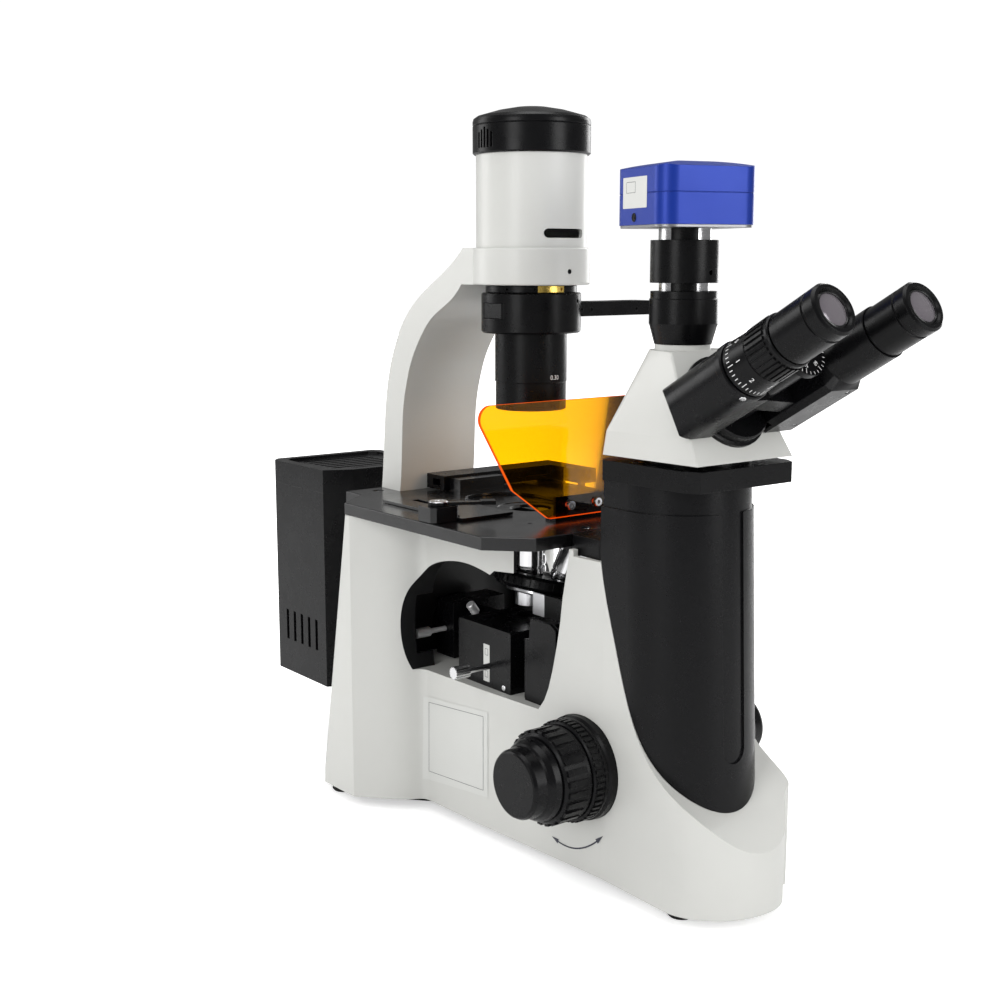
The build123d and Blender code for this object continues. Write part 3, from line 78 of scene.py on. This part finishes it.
class Shader:
    """Small helper that wires the nodes of one material."""

    def __init__(self, name):
        self.mat = bpy.data.materials.new(name)
        self.mat.use_nodes = True
        self.tree = self.mat.node_tree
        self.out = next(n for n in self.tree.nodes if n.type == "OUTPUT_MATERIAL")
        self.bsdf = next(n for n in self.tree.nodes if n.type == "BSDF_PRINCIPLED")
        self.coords = self.add("ShaderNodeTexCoord").outputs["Object"]

    def add(self, kind, **values):
        node = self.tree.nodes.new(kind)
        for key, value in values.items():
            setattr(node, key, value)
        return node

    def link(self, a, b):
        self.tree.links.new(a, b)

    def put(self, socket, value):
        if isinstance(value, bpy.types.NodeSocket):
            self.link(value, socket)
        else:
            socket.default_value = value

    def noise(self, scale, detail=3.0, rough=0.5):
        node = self.add("ShaderNodeTexNoise")
        self.link(self.coords, node.inputs["Vector"])
        node.inputs["Scale"].default_value = scale
        node.inputs["Detail"].default_value = detail
        node.inputs["Roughness"].default_value = rough
        return node.outputs["Fac"]

    def math(self, kind, a, b=0.0, clamp=False):
        node = self.add("ShaderNodeMath", operation=kind, use_clamp=clamp)
        self.put(node.inputs[0], a)
        self.put(node.inputs[1], b)
        return node.outputs[0]

    def ramp(self, value, low, high, start, end):
        node = self.add("ShaderNodeMapRange")
        self.put(node.inputs["Value"], value)
        for key, number in (("From Min", low), ("From Max", high), ("To Min", start), ("To Max", end)):
            node.inputs[key].default_value = number
        return node.outputs["Result"]

    def mix(self, factor, a, b):
        node = self.add("ShaderNodeMix", data_type="RGBA")
        self.put(node.inputs["Factor"], factor)
        self.put(node.inputs["A"], a)
        self.put(node.inputs["B"], b)
        return node.outputs["Result"]

    def split(self, vector):
        node = self.add("ShaderNodeSeparateXYZ")
        self.link(vector, node.inputs[0])
        return node.outputs

    def position(self):
        """Object position in millimetres from the optical axis, as X, Y and Z sockets."""
        x, y, z = self.split(self.coords)
        y = self.math("SUBTRACT", y, AXIS_Y / 1000)
        return [self.math("MULTIPLY", socket, 1000.0) for socket in (x, y, z)]

    def distance(self, x, y):
        """Distance from the line x = y = 0."""
        square = self.math("ADD", self.math("MULTIPLY", x, x), self.math("MULTIPLY", y, y))
        return self.math("POWER", square, 0.5)

    def facing(self, x, y, direction):
        """Cosine between a point's place about that line and one direction."""
        along_x = self.math("MULTIPLY", x, direction[0])
        along_y = self.math("MULTIPLY", y, direction[1])
        return self.math("DIVIDE", self.math("ADD", along_x, along_y), self.distance(x, y))

    def normal(self):
        return self.split(self.add("ShaderNodeNewGeometry").outputs["Normal"])

    def within(self, socket, low, high):
        """1 between the two limits and 0 elsewhere."""
        above = self.math("GREATER_THAN", socket, low)
        return self.math("MULTIPLY", above, self.math("LESS_THAN", socket, high))

    def all_of(self, *sockets):
        value = sockets[0]
        for socket in sockets[1:]:
            value = self.math("MULTIPLY", value, socket)
        return value

    def repaint(self, mask, color, rough, metal=0.0):
        """Gives the masked region another colour, gloss and metal."""
        old = self.bsdf.inputs["Base Color"].links[0].from_socket
        self.put(self.bsdf.inputs["Base Color"], self.mix(mask, old, (*color, 1.0)))
        for key, new in (("Roughness", rough), ("Metallic", metal)):
            socket = self.bsdf.inputs[key]
            old = socket.links[0].from_socket if socket.is_linked else socket.default_value
            rest = self.math("MULTIPLY", self.math("SUBTRACT", 1.0, mask), old)
            self.put(socket, self.math("ADD", rest, self.math("MULTIPLY", mask, new)))

    def set(self, **values):
        for key, value in values.items():
            self.put(self.bsdf.inputs[key.replace("_", " ").title().replace("Ior", "IOR")], value)


def rgba(color):
    return (*color, 1.0)


def finish(name, color, rough, metal=0.0, grain=1500.0, depth=0.00002, mottle=0.05, spread=0.05,
           coat=0.0, edge=0.0005, spec=0.5):
    """Opaque finish: colour with slight mottling, grain in the bump, uneven gloss and soft edges."""
    s = Shader(name)
    cloud = s.noise(18.0, 4.0, 0.6)
    fine = s.noise(grain, 2.0, 0.6)
    shade = s.ramp(cloud, 0.3, 0.7, 1.0 - mottle, 1.0 + mottle)
    colour = s.add("ShaderNodeVectorMath", operation="SCALE")
    colour.inputs[0].default_value = color
    s.link(shade, colour.inputs["Scale"])
    gloss = s.ramp(s.noise(60.0, 5.0, 0.65), 0.3, 0.7, rough - spread, rough + spread)
    bevel = s.add("ShaderNodeBevel", samples=4)
    bevel.inputs["Radius"].default_value = edge
    bump = s.add("ShaderNodeBump")
    bump.inputs["Strength"].default_value = 0.6
    bump.inputs["Distance"].default_value = depth
    s.link(fine, bump.inputs["Height"])
    s.link(bevel.outputs["Normal"], bump.inputs["Normal"])
    s.set(base_color=colour.outputs[0], roughness=gloss, metallic=metal, normal=bump.outputs["Normal"])
    s.bsdf.inputs["Specular IOR Level"].default_value = spec
    s.bsdf.inputs["Coat Weight"].default_value = coat
    s.bsdf.inputs["Coat Roughness"].default_value = 0.15
    return s


PAINT = dict(color=(0.6, 0.602, 0.575), rough=0.42, grain=1100, depth=0.00003, mottle=0.012, coat=0.12)
BLACK = dict(rough=0.28, depth=0.00005, mottle=0.2, spec=0.17)
ANODISED = dict(color=(0.0026, 0.0026, 0.003), grain=2600, **BLACK)
BLUE = dict(
    color=(0.001, 0.028, 0.3), rough=0.38, metal=0.35, grain=1800, depth=0.00003, mottle=0.04, spread=0.03
)
PRINT = dict(grain=1600, depth=0.00001, edge=0.0001)
BRASS = (0.83, 0.58, 0.14)
ALUMINIUM = (0.75, 0.75, 0.77)

white_paint = finish("white_paint", **PAINT).mat
black_paint = finish("black_paint", (0.004, 0.004, 0.0046), grain=1500, **BLACK).mat
black_anodised = finish("black_anodised", **ANODISED).mat
black_plastic = finish("black_plastic", (0.0035, 0.0035, 0.004), grain=2200, **BLACK).mat
rubber = finish("rubber", (0.01, 0.01, 0.01), 0.75, grain=1800, depth=0.0001, spec=0.3).mat
steel = finish("steel", (0.72, 0.72, 0.73), 0.2, metal=1.0, grain=900, depth=0.00001, edge=0.0002).mat
bare_aluminium = finish("bare_aluminium", ALUMINIUM, 0.3, metal=1.0, grain=900, depth=0.00002).mat
chrome = finish(
    "chrome", (0.8, 0.8, 0.81), 0.12, metal=1.0, grain=700, depth=0.000004, edge=0.0003, spread=0.03
).mat
brass = finish("brass", BRASS, 0.25, metal=1.0, grain=900, depth=0.00001, edge=0.0002).mat
blue_anodised = finish("blue_anodised", **BLUE).mat
label_white = finish("label_white", (0.63, 0.635, 0.61), 0.4, mottle=0.01, **PRINT).mat
print_white = finish("print_white", (0.8, 0.8, 0.8), 0.5, mottle=0.01, **PRINT).mat
print_dark = finish("print_dark", (0.035, 0.036, 0.055), 0.5, mottle=0.05, **PRINT).mat
# Glossier black of the stage, and the satin ends of the pins.
stage_finish = finish(
    "stage_finish", (0.004, 0.004, 0.0044), 0.2, grain=2600, depth=0.00004, mottle=0.2, spec=0.5
).mat
pin_finish = finish(
    "pin_finish", (0.85, 0.85, 0.85), 0.38, metal=0.6, grain=900, depth=0.00001, edge=0.0002
).mat


def make_casting_paint():
    """White paint outside, black inside the nosepiece bay."""
    s = finish("casting_paint", **PAINT)
    x, y, z = s.position()
    nx, _, nz = s.normal()
    width = s.math("ABSOLUTE", x)
    inward = s.math("LESS_THAN", s.math("MULTIPLY", nx, x), s.math("MULTIPLY", width, -0.35))
    deep = s.math("LESS_THAN", width, 43.8)
    cut = s.math("LESS_THAN", s.math("ABSOLUTE", nx), 0.12)
    inner = s.math("MAXIMUM", s.math("MAXIMUM", inward, deep), cut)
    upright = s.math("LESS_THAN", nz, 0.6)
    bay = s.all_of(s.within(y, -111.5, 99.0), s.within(z, 107.0, 217.0), s.math("LESS_THAN", width, 92.0))
    s.repaint(s.all_of(inner, upright, bay), (0.004, 0.004, 0.0045), 0.5)
    return s.mat


def make_adapter_finish():
    """Black sleeves; the inner tube has a painted reflection: metal at its sides, black in the strip facing
    the camera.
    """
    s = finish("adapter_black_with_painted_reflection", **ANODISED)
    x, y, _ = s.position()
    y = s.math("SUBTRACT", y, PHOTO_Y)
    inner_tube = s.math("LESS_THAN", s.distance(x, y), 16.6)
    # Painted reflection: the inner tube is metal at its sides and stays black in the strip that faces the
    # camera.
    painted_reflection_sides = s.math("LESS_THAN", s.facing(x, y, (-0.71, -0.704)), 0.86)
    s.repaint(s.all_of(painted_reflection_sides, inner_tube), (0.6, 0.6, 0.61), 0.2, 1.0)
    return s.mat


def make_camera_finish():
    """Blue anodised shell with a bare base plate."""
    s = finish("camera_finish", **BLUE)
    s.repaint(s.math("LESS_THAN", s.position()[2], 427.02), (0.3, 0.3, 0.31), 0.4, 1.0)
    return s.mat


def make_diaphragm_finish():
    """Black ring with a brass patch on one side: a painted glint."""
    s = finish("diaphragm_black_with_painted_glint", **ANODISED)
    x, y, _ = s.position()
    # Brass patch on the front of the ring, where the glint falls: a painted glint.
    painted_glint = s.math("GREATER_THAN", s.facing(x, y, (-0.213, -0.977)), 0.95)
    s.repaint(painted_glint, BRASS, 0.22, 1.0)
    return s.mat


def make_carrier_finish():
    """Black slide and arm with a bare plate under the turret."""
    s = finish("carrier_finish", **ANODISED)
    x, y, z = s.position()
    bare = s.all_of(s.within(y, -31.0, 31.0), s.within(x, -60.0, 60.0), s.within(z, 140.0, 185.0))
    s.repaint(bare, ALUMINIUM, 0.28, 1.0)
    return s.mat


def make_acrylic():
    """Clear orange sheet whose cut edges collect the light."""
    s = Shader("orange_acrylic")
    clear = s.add("ShaderNodeBsdfTransparent")
    clear.inputs["Color"].default_value = (0.97, 0.64, 0.04, 1.0)
    s.set(base_color=rgba((0.85, 0.2, 0.0)), roughness=0.06, ior=1.49)
    fresnel = s.add("ShaderNodeFresnel")
    fresnel.inputs["IOR"].default_value = 1.49
    glossy = s.add("ShaderNodeBsdfGlossy")
    glossy.inputs["Roughness"].default_value = 0.04
    glossy.inputs["Color"].default_value = (1.0, 0.95, 0.9, 1.0)
    body = s.add("ShaderNodeMixShader")
    s.link(fresnel.outputs[0], body.inputs[0])
    s.link(clear.outputs[0], body.inputs[1])
    s.link(glossy.outputs[0], body.inputs[2])
    geometry = s.add("ShaderNodeNewGeometry")
    side = s.math("LESS_THAN", s.math("ABSOLUTE", s.split(geometry.outputs["Normal"])["Y"]), 0.5)
    glow = s.add("ShaderNodeEmission")
    glow.inputs["Color"].default_value = (1.0, 0.12, 0.01, 1.0)
    glow.inputs["Strength"].default_value = 0.95
    out = s.add("ShaderNodeMixShader")
    s.link(side, out.inputs[0])
    s.link(body.outputs[0], out.inputs[1])
    s.link(glow.outputs[0], out.inputs[2])
    s.link(out.outputs[0], s.out.inputs["Surface"])
    return s.mat


def make_glass():
    """Coated optical glass."""
    s = Shader("glass")
    s.set(base_color=rgba((0.9, 0.95, 0.95)), roughness=0.03, ior=1.52)
    s.bsdf.inputs["Transmission Weight"].default_value = 0.9
    s.bsdf.inputs["Coat Weight"].default_value = 0.6
    s.bsdf.inputs["Coat Tint"].default_value = (0.7, 0.6, 1.0, 1.0)
    return s.mat


orange_acrylic = make_acrylic()
glass = make_glass()

looks = {
    "white_paint": white_paint,
    "black_paint": black_paint,
    "black_anodised": black_anodised,
    "black_plastic": black_plastic,
    "rubber": rubber,
    "orange_acrylic": orange_acrylic,
    "steel": steel,
    "bare_aluminium": bare_aluminium,
    "chrome": chrome,
    "brass": brass,
    "blue_anodised": blue_anodised,
    "glass": glass,
}
for part in frame["record"]["subparts"]:
    mesh = nodes[part["node"]].data
    mesh.materials.clear()
    mesh.materials.append(looks[part["material_slot"]])
for node, material in (
    ("stage_plate", stage_finish),
    ("stage_insert", stage_finish),
    ("specimen_holder", stage_finish),
    ("left_centring_pin", pin_finish),
    ("upper_centring_pin", pin_finish),
    ("base_casting", make_casting_paint()),
    ("camera_adapter", make_adapter_finish()),
    ("camera", make_camera_finish()),
    ("diaphragm_ring", make_diaphragm_finish()),
    ("nosepiece_carrier", make_carrier_finish()),
):
    nodes[node].data.materials[0] = material


# Detail pieces


def seat(origin, normal, right):
    """Frame in metres whose Z is the normal and whose X runs along right."""
    z = Vector(normal).normalized()
    x = Vector(right)
    x = (x - z * x.dot(z)).normalized()
    frame_matrix = Matrix((x, z.cross(x), z)).transposed().to_4x4()
    frame_matrix.translation = mm(*origin)
    return frame_matrix


def piece(name, bm, material, body, sharp=0.6):
    """Links a finished bmesh as one piece that rides on a body."""
    bmesh.ops.remove_doubles(bm, verts=bm.verts, dist=1e-7)
    for edge in bm.edges:
        edge.smooth = len(edge.link_faces) == 2 and edge.calc_face_angle(0) < sharp
    for face in bm.faces:
        face.smooth = True
    mesh = bpy.data.meshes.new(name)
    bm.to_mesh(mesh)
    bm.free()
    mesh.materials.append(material)
    obj = bpy.data.objects.new(name, mesh)
    scene.collection.objects.link(obj)
    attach(obj, body)
    return obj


def point(place, x, y, z):
    return place @ Vector((x / 1000, y / 1000, z / 1000))


def hexagon(turn):
    """Radius factor of a hexagon at one angle, as against its flats."""
    return 1 / cos(turn % (pi / 3) - pi / 6)


def lathe(bm, place, profile, segments=48):
    """Revolved profile of (radius, height) points; a third value makes that point a hexagon."""
    rings = []
    for k in range(segments):
        turn = 2 * pi * k / segments
        ring = []
        for radius, height, *six in profile:
            r = radius * hexagon(turn) if six else radius
            ring.append(bm.verts.new(point(place, r * cos(turn), r * sin(turn), height)))
        rings.append(ring)
    for k in range(segments):
        a, b = rings[k], rings[(k + 1) % segments]
        for i in range(len(profile) - 1):
            bm.faces.new((a[i], b[i], b[i + 1], a[i + 1]))


def socket_screw(bm, place, radius, rise):
    """Round screw end with a hexagon socket."""
    key = radius * 0.5
    lathe(bm, place, [(radius, -0.3), (radius, rise - 0.2), (radius - 0.2, rise), (key + 0.15, rise),
                      (key, rise - 0.1, 1), (key, rise - 0.9, 1), (0, rise - 1.0)])


def cross_screw(bm, place, radius, rise):
    """Round screw head with a domed rim and a sunk middle."""
    lathe(bm, place, [(radius, -0.2), (radius, rise * 0.5), (radius * 0.85, rise * 0.9), (radius * 0.5, rise),
                      (radius * 0.34, rise * 0.96), (radius * 0.3, rise * 0.3), (0, rise * 0.2)], 36)


def quad_strip(bm, rows):
    """Faces between rows of points."""
    rows = [[bm.verts.new(p) for p in row] for row in rows]
    for a, b in zip(rows, rows[1:]):
        for i in range(len(a) - 1):
            bm.faces.new((a[i], a[i + 1], b[i + 1], b[i]))


def plate(bm, place, width, height, rise, corner=0.6):
    """Thin plate with rounded corners and a small edge, centred on the frame."""
    rim = []
    for cx, cy, start in ((1, 1, 0), (-1, 1, 90), (-1, -1, 180), (1, -1, 270)):
        for k in range(5):
            turn = radians(start + 22.5 * k)
            x = cx * (width / 2 - corner) + corner * cos(turn)
            y = cy * (height / 2 - corner) + corner * sin(turn)
            rim.append((x, y))
    low = [bm.verts.new(point(place, x, y, -0.05)) for x, y in rim]
    high = [bm.verts.new(point(place, x, y, rise)) for x, y in rim]
    for i in range(len(rim)):
        j = (i + 1) % len(rim)
        bm.faces.new((low[i], low[j], high[j], high[i]))
    bm.faces.new(high)
    bm.faces.new(low[::-1])


def outline(bm, place, width, height, line, rise):
    """Printed rectangle of thin lines."""
    for side in (1, -1):
        across = place @ Matrix.Translation((0, side * height / 2000, 0))
        plate(bm, across, width, line, rise, line * 0.4)
    for side in (1, -1):
        upright = place @ Matrix.Translation((side * width / 2000, 0, 0))
        plate(bm, upright, line, height, rise, line * 0.4)


def glyphs(text, size):
    """Flat outline of a number, centred, in millimetres: its points and faces."""
    curve = bpy.data.curves.new("glyphs", "FONT")
    curve.body, curve.size, curve.align_x, curve.align_y = text, size, "CENTER", "CENTER"
    obj = bpy.data.objects.new("glyphs", curve)
    mesh = bpy.data.meshes.new_from_object(obj)
    result = [v.co.copy() for v in mesh.vertices], [tuple(p.vertices) for p in mesh.polygons]
    bpy.data.objects.remove(obj)
    bpy.data.curves.remove(curve)
    bpy.data.meshes.remove(mesh)
    return result


def print_text(bm, text, size, warp):
    """Lays a number on a surface through warp(x, y)."""
    points, faces = glyphs(text, size)
    made = [bm.verts.new(warp(p.x, p.y)) for p in points]
    for face in faces:
        bm.faces.new([made[i] for i in face])


def round_warp(place, radius, turn, level):
    """Maps flat points on to a cylinder about the frame's Z."""

    def warp(x, y):
        a = turn + x / radius
        return point(place, radius * cos(a), radius * sin(a), level + y)

    return warp


def face_warp(place, radius, turn, level):
    """Maps flat points on to a dial face, upright from its rim."""

    def warp(x, y):
        a = turn - x / radius
        return point(place, (radius + y) * cos(a), (radius + y) * sin(a), level)

    return warp


tube_origin = (0, HEAD_FRONT_Y + (HUB_Z - HEAD_BOTTOM) * sin(TUBE_TURN) / cos(TUBE_TURN), HUB_Z)
tube_place = seat(tube_origin, (0, -cos(TUBE_TURN), sin(TUBE_TURN)), (1, 0, 0))
left_place = tube_place @ Matrix.Translation((-TUBE_X / 1000, 0, 0))
right_place = tube_place @ Matrix.Translation((TUBE_X / 1000, 0, 0))
dial_place = tube_place @ Matrix.Translation((0, TUBE_RISE / 1000, 0))


def make_lens_finish():
    """Coated eye lens: dark violet body under a bright film."""
    s = finish(
        "lens_coating", (0.2, 0.18, 0.2), 0.12, metal=0.45, grain=400, depth=0.000001,
        mottle=0.03, spread=0.02, coat=1.0,
    )
    s.repaint(s.ramp(s.noise(30.0, 1.0), 0.35, 0.65, 0.0, 0.35), (0.06, 0.04, 0.07), 0.08, 0.4)
    return s.mat


lens_coating = make_lens_finish()

for side, place in (("left", left_place), ("right", right_place)):
    body = side + "_ocular"
    bm = bmesh.new()
    lens = ((9.9, 2.2), (9.7, 1.75), (8, 1.25), (5, 0.8), (2.5, 0.6), (0, 0.5))
    lathe(bm, place, [(radius, EYE_END - depth) for radius, depth in lens], 64)
    piece(side + "_eye_lens", bm, lens_coating, body)
    bm = bmesh.new()
    ring = ((9.6, 2.4), (9.7, 1.2), (10.1, 0.9), (10.9, 1.3), (11.3, 1.5), (11.3, 2.4))
    lathe(bm, place, [(radius, EYE_END - depth) for radius, depth in ring], 64)
    piece(side + "_lens_ring", bm, stage_finish, body)

# Dioptre scale on the left tube: 40 lines on its cone, each fifth one long and numbered.
bm = bmesh.new()
for k in range(40):
    turn = 2 * pi * k / 40
    major = k % 5 == 0
    rows = []
    for level in (60.6, 64.6 if major else 62.8):
        radius = 17.45 - 0.8 * (level - 58.5) / 15.9 + 0.05
        rows.append([
            point(left_place, radius * cos(turn + d), radius * sin(turn + d), level) for d in (-0.013, 0.013)
        ])
    quad_strip(bm, rows)
    if major:
        print_text(bm, str(abs(k // 5 - 3)), 4.6, round_warp(left_place, 17.05, turn, 68.6))
piece("dioptre_scale", bm, print_white, "diopter")

# Eye spacing scale on the dial between the tubes.
bm = bmesh.new()
for k in range(25):
    turn = radians(200 + 12.5 * k)
    major = k % 4 == 0
    level = DIAL_TOP + 0.06
    rows = []
    for radius in (12.6 if major else 14.0, 15.8):
        rows.append([
            point(dial_place, radius * cos(turn + d), radius * sin(turn + d), level) for d in (-0.012, 0.012)
        ])
    quad_strip(bm, rows)
    if major:
        print_text(bm, str(50 + 5 * (k // 4)), 3.4, face_warp(dial_place, 10.4, turn, level))
piece("spacing_scale", bm, print_white, "right_tube")

# Set screw of the left collar, and the screws of the right housing's cover.
bm = bmesh.new()
turn = radians(244)
out = (tube_place.to_3x3() @ Vector((cos(turn), sin(turn), 0))).normalized()
screw_place = seat((0, 0, 0), out, (1, 0, 0))
screw_spot = (COLLAR_RADIUS * cos(turn), COLLAR_RADIUS * sin(turn), COLLAR_SCREW_LEVEL)
screw_place.translation = point(left_place, *screw_spot)
cross_screw(bm, screw_place, 1.9, 0.7)
piece("collar_screw", bm, steel, "left_tube")

bm = bmesh.new()
for level in (9, 55):
    place = right_place @ Matrix.Translation((0.0044, -0.0178, level / 1000))
    cross_screw(bm, place @ Matrix.Rotation(pi / 2, 4, "X"), 1.5, 0.35)
piece("cover_screws", bm, steel, "right_tube")

# Aperture mark of the condenser, along its tube.
bm = bmesh.new()
condenser_place = seat((0, 0, 0), (0, 0, 1), (1, 0, 0))
print_text(bm, "0.30", 4.4, round_warp(condenser_place, CONDENSER_RADIUS + 0.05, radians(272), 325.5))
piece("condenser_mark", bm, print_white, "stand")

# Socket screws of the collar and the slider bar.
bm = bmesh.new()
socket_screw(bm, seat((0.5, -41.0, 398.4), (0, -1, 0), (1, 0, 0)), 1.65, 0.12)
piece("collar_set_screw", bm, black_anodised, "stand")
bm = bmesh.new()
for x in (37.0, 46.3, 90.0):
    socket_screw(bm, seat((x, -11.0, 371.1), (0, -1, 0), (1, 0, 0)), 2.1, 0.25)
piece("slider_bar_screws", bm, black_plastic, "phase_slider")

# Bare label and cord socket of the camera.
side_out = (-cos(CAMERA_TURN), -sin(CAMERA_TURN), 0)
along = (sin(CAMERA_TURN), -cos(CAMERA_TURN), 0)


def camera_seat(across, z):
    """Frame on the camera's left side, at one distance across it and one height."""
    x = CAMERA_HALF * side_out[0] - across * along[0]
    y = PHOTO_Y + CAMERA_HALF * side_out[1] - across * along[1]
    return seat((x, y, z), side_out, along)


bm = bmesh.new()
plate(bm, camera_seat(3.3, 446.4), 32, 18.6, 0.15)
piece("camera_label", bm, label_white, "camera_turntable")
bm = bmesh.new()
outline(bm, camera_seat(8.6, 449.6), 12, 6.4, 0.25, 0.2)
piece("camera_label_frame", bm, print_dark, "camera_turntable")
bm = bmesh.new()
socket_rim = [(2.7, 0), (2.7, 0.3), (2.4, 0.45), (2.0, 0.35), (2.0, 0.12), (0.7, 0.1), (0.6, 0.4), (0, 0.45)]
lathe(bm, camera_seat(4.1, 431.6), socket_rim)
piece("camera_socket", bm, black_plastic, "camera_turntable")

# Filter position strip and screw of the illuminator.
bm = bmesh.new()
box_side = seat((BOX_SIDE_X, -8.5, 125.2), (-1, 0, 0), (0, -1, 0))
plate(bm, box_side, 7.0, 27.0, 0.12, 0.3)
piece("filter_strip", bm, label_white, "stand")
bm = bmesh.new()
for z in (8.0, -8.0):
    outline(bm, box_side @ Matrix.Translation((0, z / 1000, 0)), 3.2, 4.6, 0.3, 0.17)
piece("filter_strip_marks", bm, print_dark, "stand")
bm = bmesh.new()
cross_screw(bm, seat((BOX_SIDE_X, -28.7, 111.6), (-1, 0, 0), (0, 0, 1)), 2.0, 0.8)
piece("filter_box_screw", bm, steel, "stand")


# Label sheet and turning arrow on the casting's flank.


def flank(y, z, rise):
    """Point on the left flank of the casting, found along X, in metres."""
    start = mm(-300, y, z)
    hit, place, normal, _ = nodes["base_casting"].ray_cast(start, Vector((1, 0, 0)))
    return place + normal * (rise / 1000) if hit else mm(-52, y, z)


def lerp(a, b, t):
    return tuple(p + (q - p) * t for p, q in zip(a, b))


def drape(bm, corners, across, down, rise):
    """Grid between four (y, z) corners, laid on the flank."""
    a, b, c, d = corners
    rows = []
    for i in range(down + 1):
        left, right = lerp(a, d, i / down), lerp(b, c, i / down)
        rows.append([flank(*lerp(left, right, j / across), rise) for j in range(across + 1)])
    quad_strip(bm, rows)


bm = bmesh.new()
sheet = ((54.1, 87.4), (-19.9, 93.2), (-19.8, 30.5), (55.0, 23.3))
drape(bm, sheet, 48, 24, 0.3)
piece("flank_label", bm, label_white, "stand")
frame_line = ((48.9, 84.0), (-15.2, 89.1), (-15.1, 34.3), (49.6, 30.3))
middle = lerp(lerp(frame_line[0], frame_line[2], 0.5), lerp(frame_line[1], frame_line[3], 0.5), 0.5)
bm = bmesh.new()
for i in range(4):
    a, b = frame_line[i], frame_line[(i + 1) % 4]
    drape(bm, (a, b, lerp(b, middle, 0.012), lerp(a, middle, 0.012)), 48, 1, 0.36)
piece("flank_label_frame", bm, print_dark, "stand")

# Double arrow under the tension ring: a curved bar between two heads.
bm = bmesh.new()
ends = ((-85.9, 22.4), (-110.5, 12.8), (-134.1, 37.7))
curve = []
for i in range(33):
    t = i / 32
    curve.append(tuple((1 - t) ** 2 * a + 2 * t * (1 - t) * b + t * t * c for a, b, c in zip(*ends)))
bar = curve[3:-3]
rows = []
for i, (y, z) in enumerate(bar):
    before, after = bar[max(i - 1, 0)], bar[min(i + 1, len(bar) - 1)]
    run = Vector((after[0] - before[0], after[1] - before[1])).normalized()
    rows.append([flank(y - side * 0.5 * run.y, z + side * 0.5 * run.x, 0.25) for side in (-1, 1)])
quad_strip(bm, rows)
for tip, root in ((curve[0], curve[4]), (curve[-1], curve[-5])):
    run = Vector((root[0] - tip[0], root[1] - tip[1]))
    side = Vector((-run.y, run.x)).normalized() * 1.7
    corners = [tip, (root[0] + side.x, root[1] + side.y), (root[0] - side.x, root[1] - side.y)]
    bm.faces.new([bm.verts.new(flank(*corner, 0.27)) for corner in corners])
piece("tension_arrow", bm, print_dark, "stand")

# Bright cap of the clamp's pivot.
bm = bmesh.new()
cap_rim = [(6.6, -0.2), (6.6, 0.3), (6.2, 0.6), (2.2, 0.6), (1.9, 0.3), (0, 0.25)]
lathe(bm, seat((-83.5, -4.0, 244.0), (0, 0, 1), (1, 0, 0)), cap_rim)
piece("clamp_cap", bm, bare_aluminium, "clamp")


# Studio

floor_mesh = bpy.data.meshes.new("floor")
floor_mesh.from_pydata([(-6, -6, 0), (6, -6, 0), (6, 6, 0), (-6, 6, 0)], [], [(0, 1, 2, 3)])
floor = bpy.data.objects.new("floor", floor_mesh)
scene.collection.objects.link(floor)


def make_floor():
    """Pale floor: white to the camera away from the contact shadows."""
    s = Shader("floor_white")
    s.set(base_color=rgba((0.88, 0.88, 0.88)), roughness=0.6)
    lift = s.add("ShaderNodeEmission")
    path = s.add("ShaderNodeLightPath")
    away = s.add("ShaderNodeVectorMath", operation="LENGTH")
    s.link(s.coords, away.inputs[0])
    far = s.ramp(away.outputs["Value"], 0.28, 0.75, 0.52, 1.3)
    s.link(s.math("MULTIPLY", path.outputs["Is Camera Ray"], far), lift.inputs["Strength"])
    add = s.add("ShaderNodeAddShader")
    s.link(s.bsdf.outputs[0], add.inputs[0])
    s.link(lift.outputs[0], add.inputs[1])
    s.link(add.outputs[0], s.out.inputs["Surface"])
    return s.mat


floor_mesh.materials.append(make_floor())

world = bpy.data.worlds.new("studio")
scene.world = world
world.use_nodes = True
tree = world.node_tree
background = next(n for n in tree.nodes if n.type == "BACKGROUND")
background.inputs["Color"].default_value = (1, 1, 1, 1)
path = tree.nodes.new("ShaderNodeLightPath")
glossy = tree.nodes.new("ShaderNodeMath")
glossy.operation = "MULTIPLY"
glossy.inputs[1].default_value = -0.3
tree.links.new(path.outputs["Is Glossy Ray"], glossy.inputs[0])
seen = tree.nodes.new("ShaderNodeMath")
seen.operation = "MULTIPLY_ADD"
seen.inputs[1].default_value = 0.5
tree.links.new(path.outputs["Is Camera Ray"], seen.inputs[0])
base = tree.nodes.new("ShaderNodeMath")
base.operation = "ADD"
base.inputs[1].default_value = 0.55
tree.links.new(glossy.outputs[0], base.inputs[0])
tree.links.new(base.outputs[0], seen.inputs[2])
tree.links.new(seen.outputs[0], background.inputs["Strength"])


def softbox(name, place, aim, width, height, power):
    data = bpy.data.lights.new(name, "AREA")
    data.shape = "RECTANGLE"
    data.size = width
    data.size_y = height
    data.energy = power
    lamp = bpy.data.objects.new(name, data)
    lamp.location = place
    lamp.rotation_euler = (Vector(aim) - Vector(place)).to_track_quat("-Z", "Y").to_euler()
    scene.collection.objects.link(lamp)


softbox("key_left", (-1.7, -0.5, 0.9), (0, 0, 0.25), 0.7, 1.3, 12.5)
softbox("front_right", (0.5, -1.9, 0.9), (0, -0.1, 0.25), 0.8, 1.4, 17)
softbox("overhead", (0.0, 0.1, 1.9), (0, 0, 0.2), 1.4, 1.2, 14)
softbox("rim_right", (1.5, 0.5, 0.8), (0, 0, 0.3), 0.6, 1.2, 10)
softbox("rim_back", (-0.9, 1.5, 0.8), (0, 0.1, 0.3), 0.8, 1.0, 8)
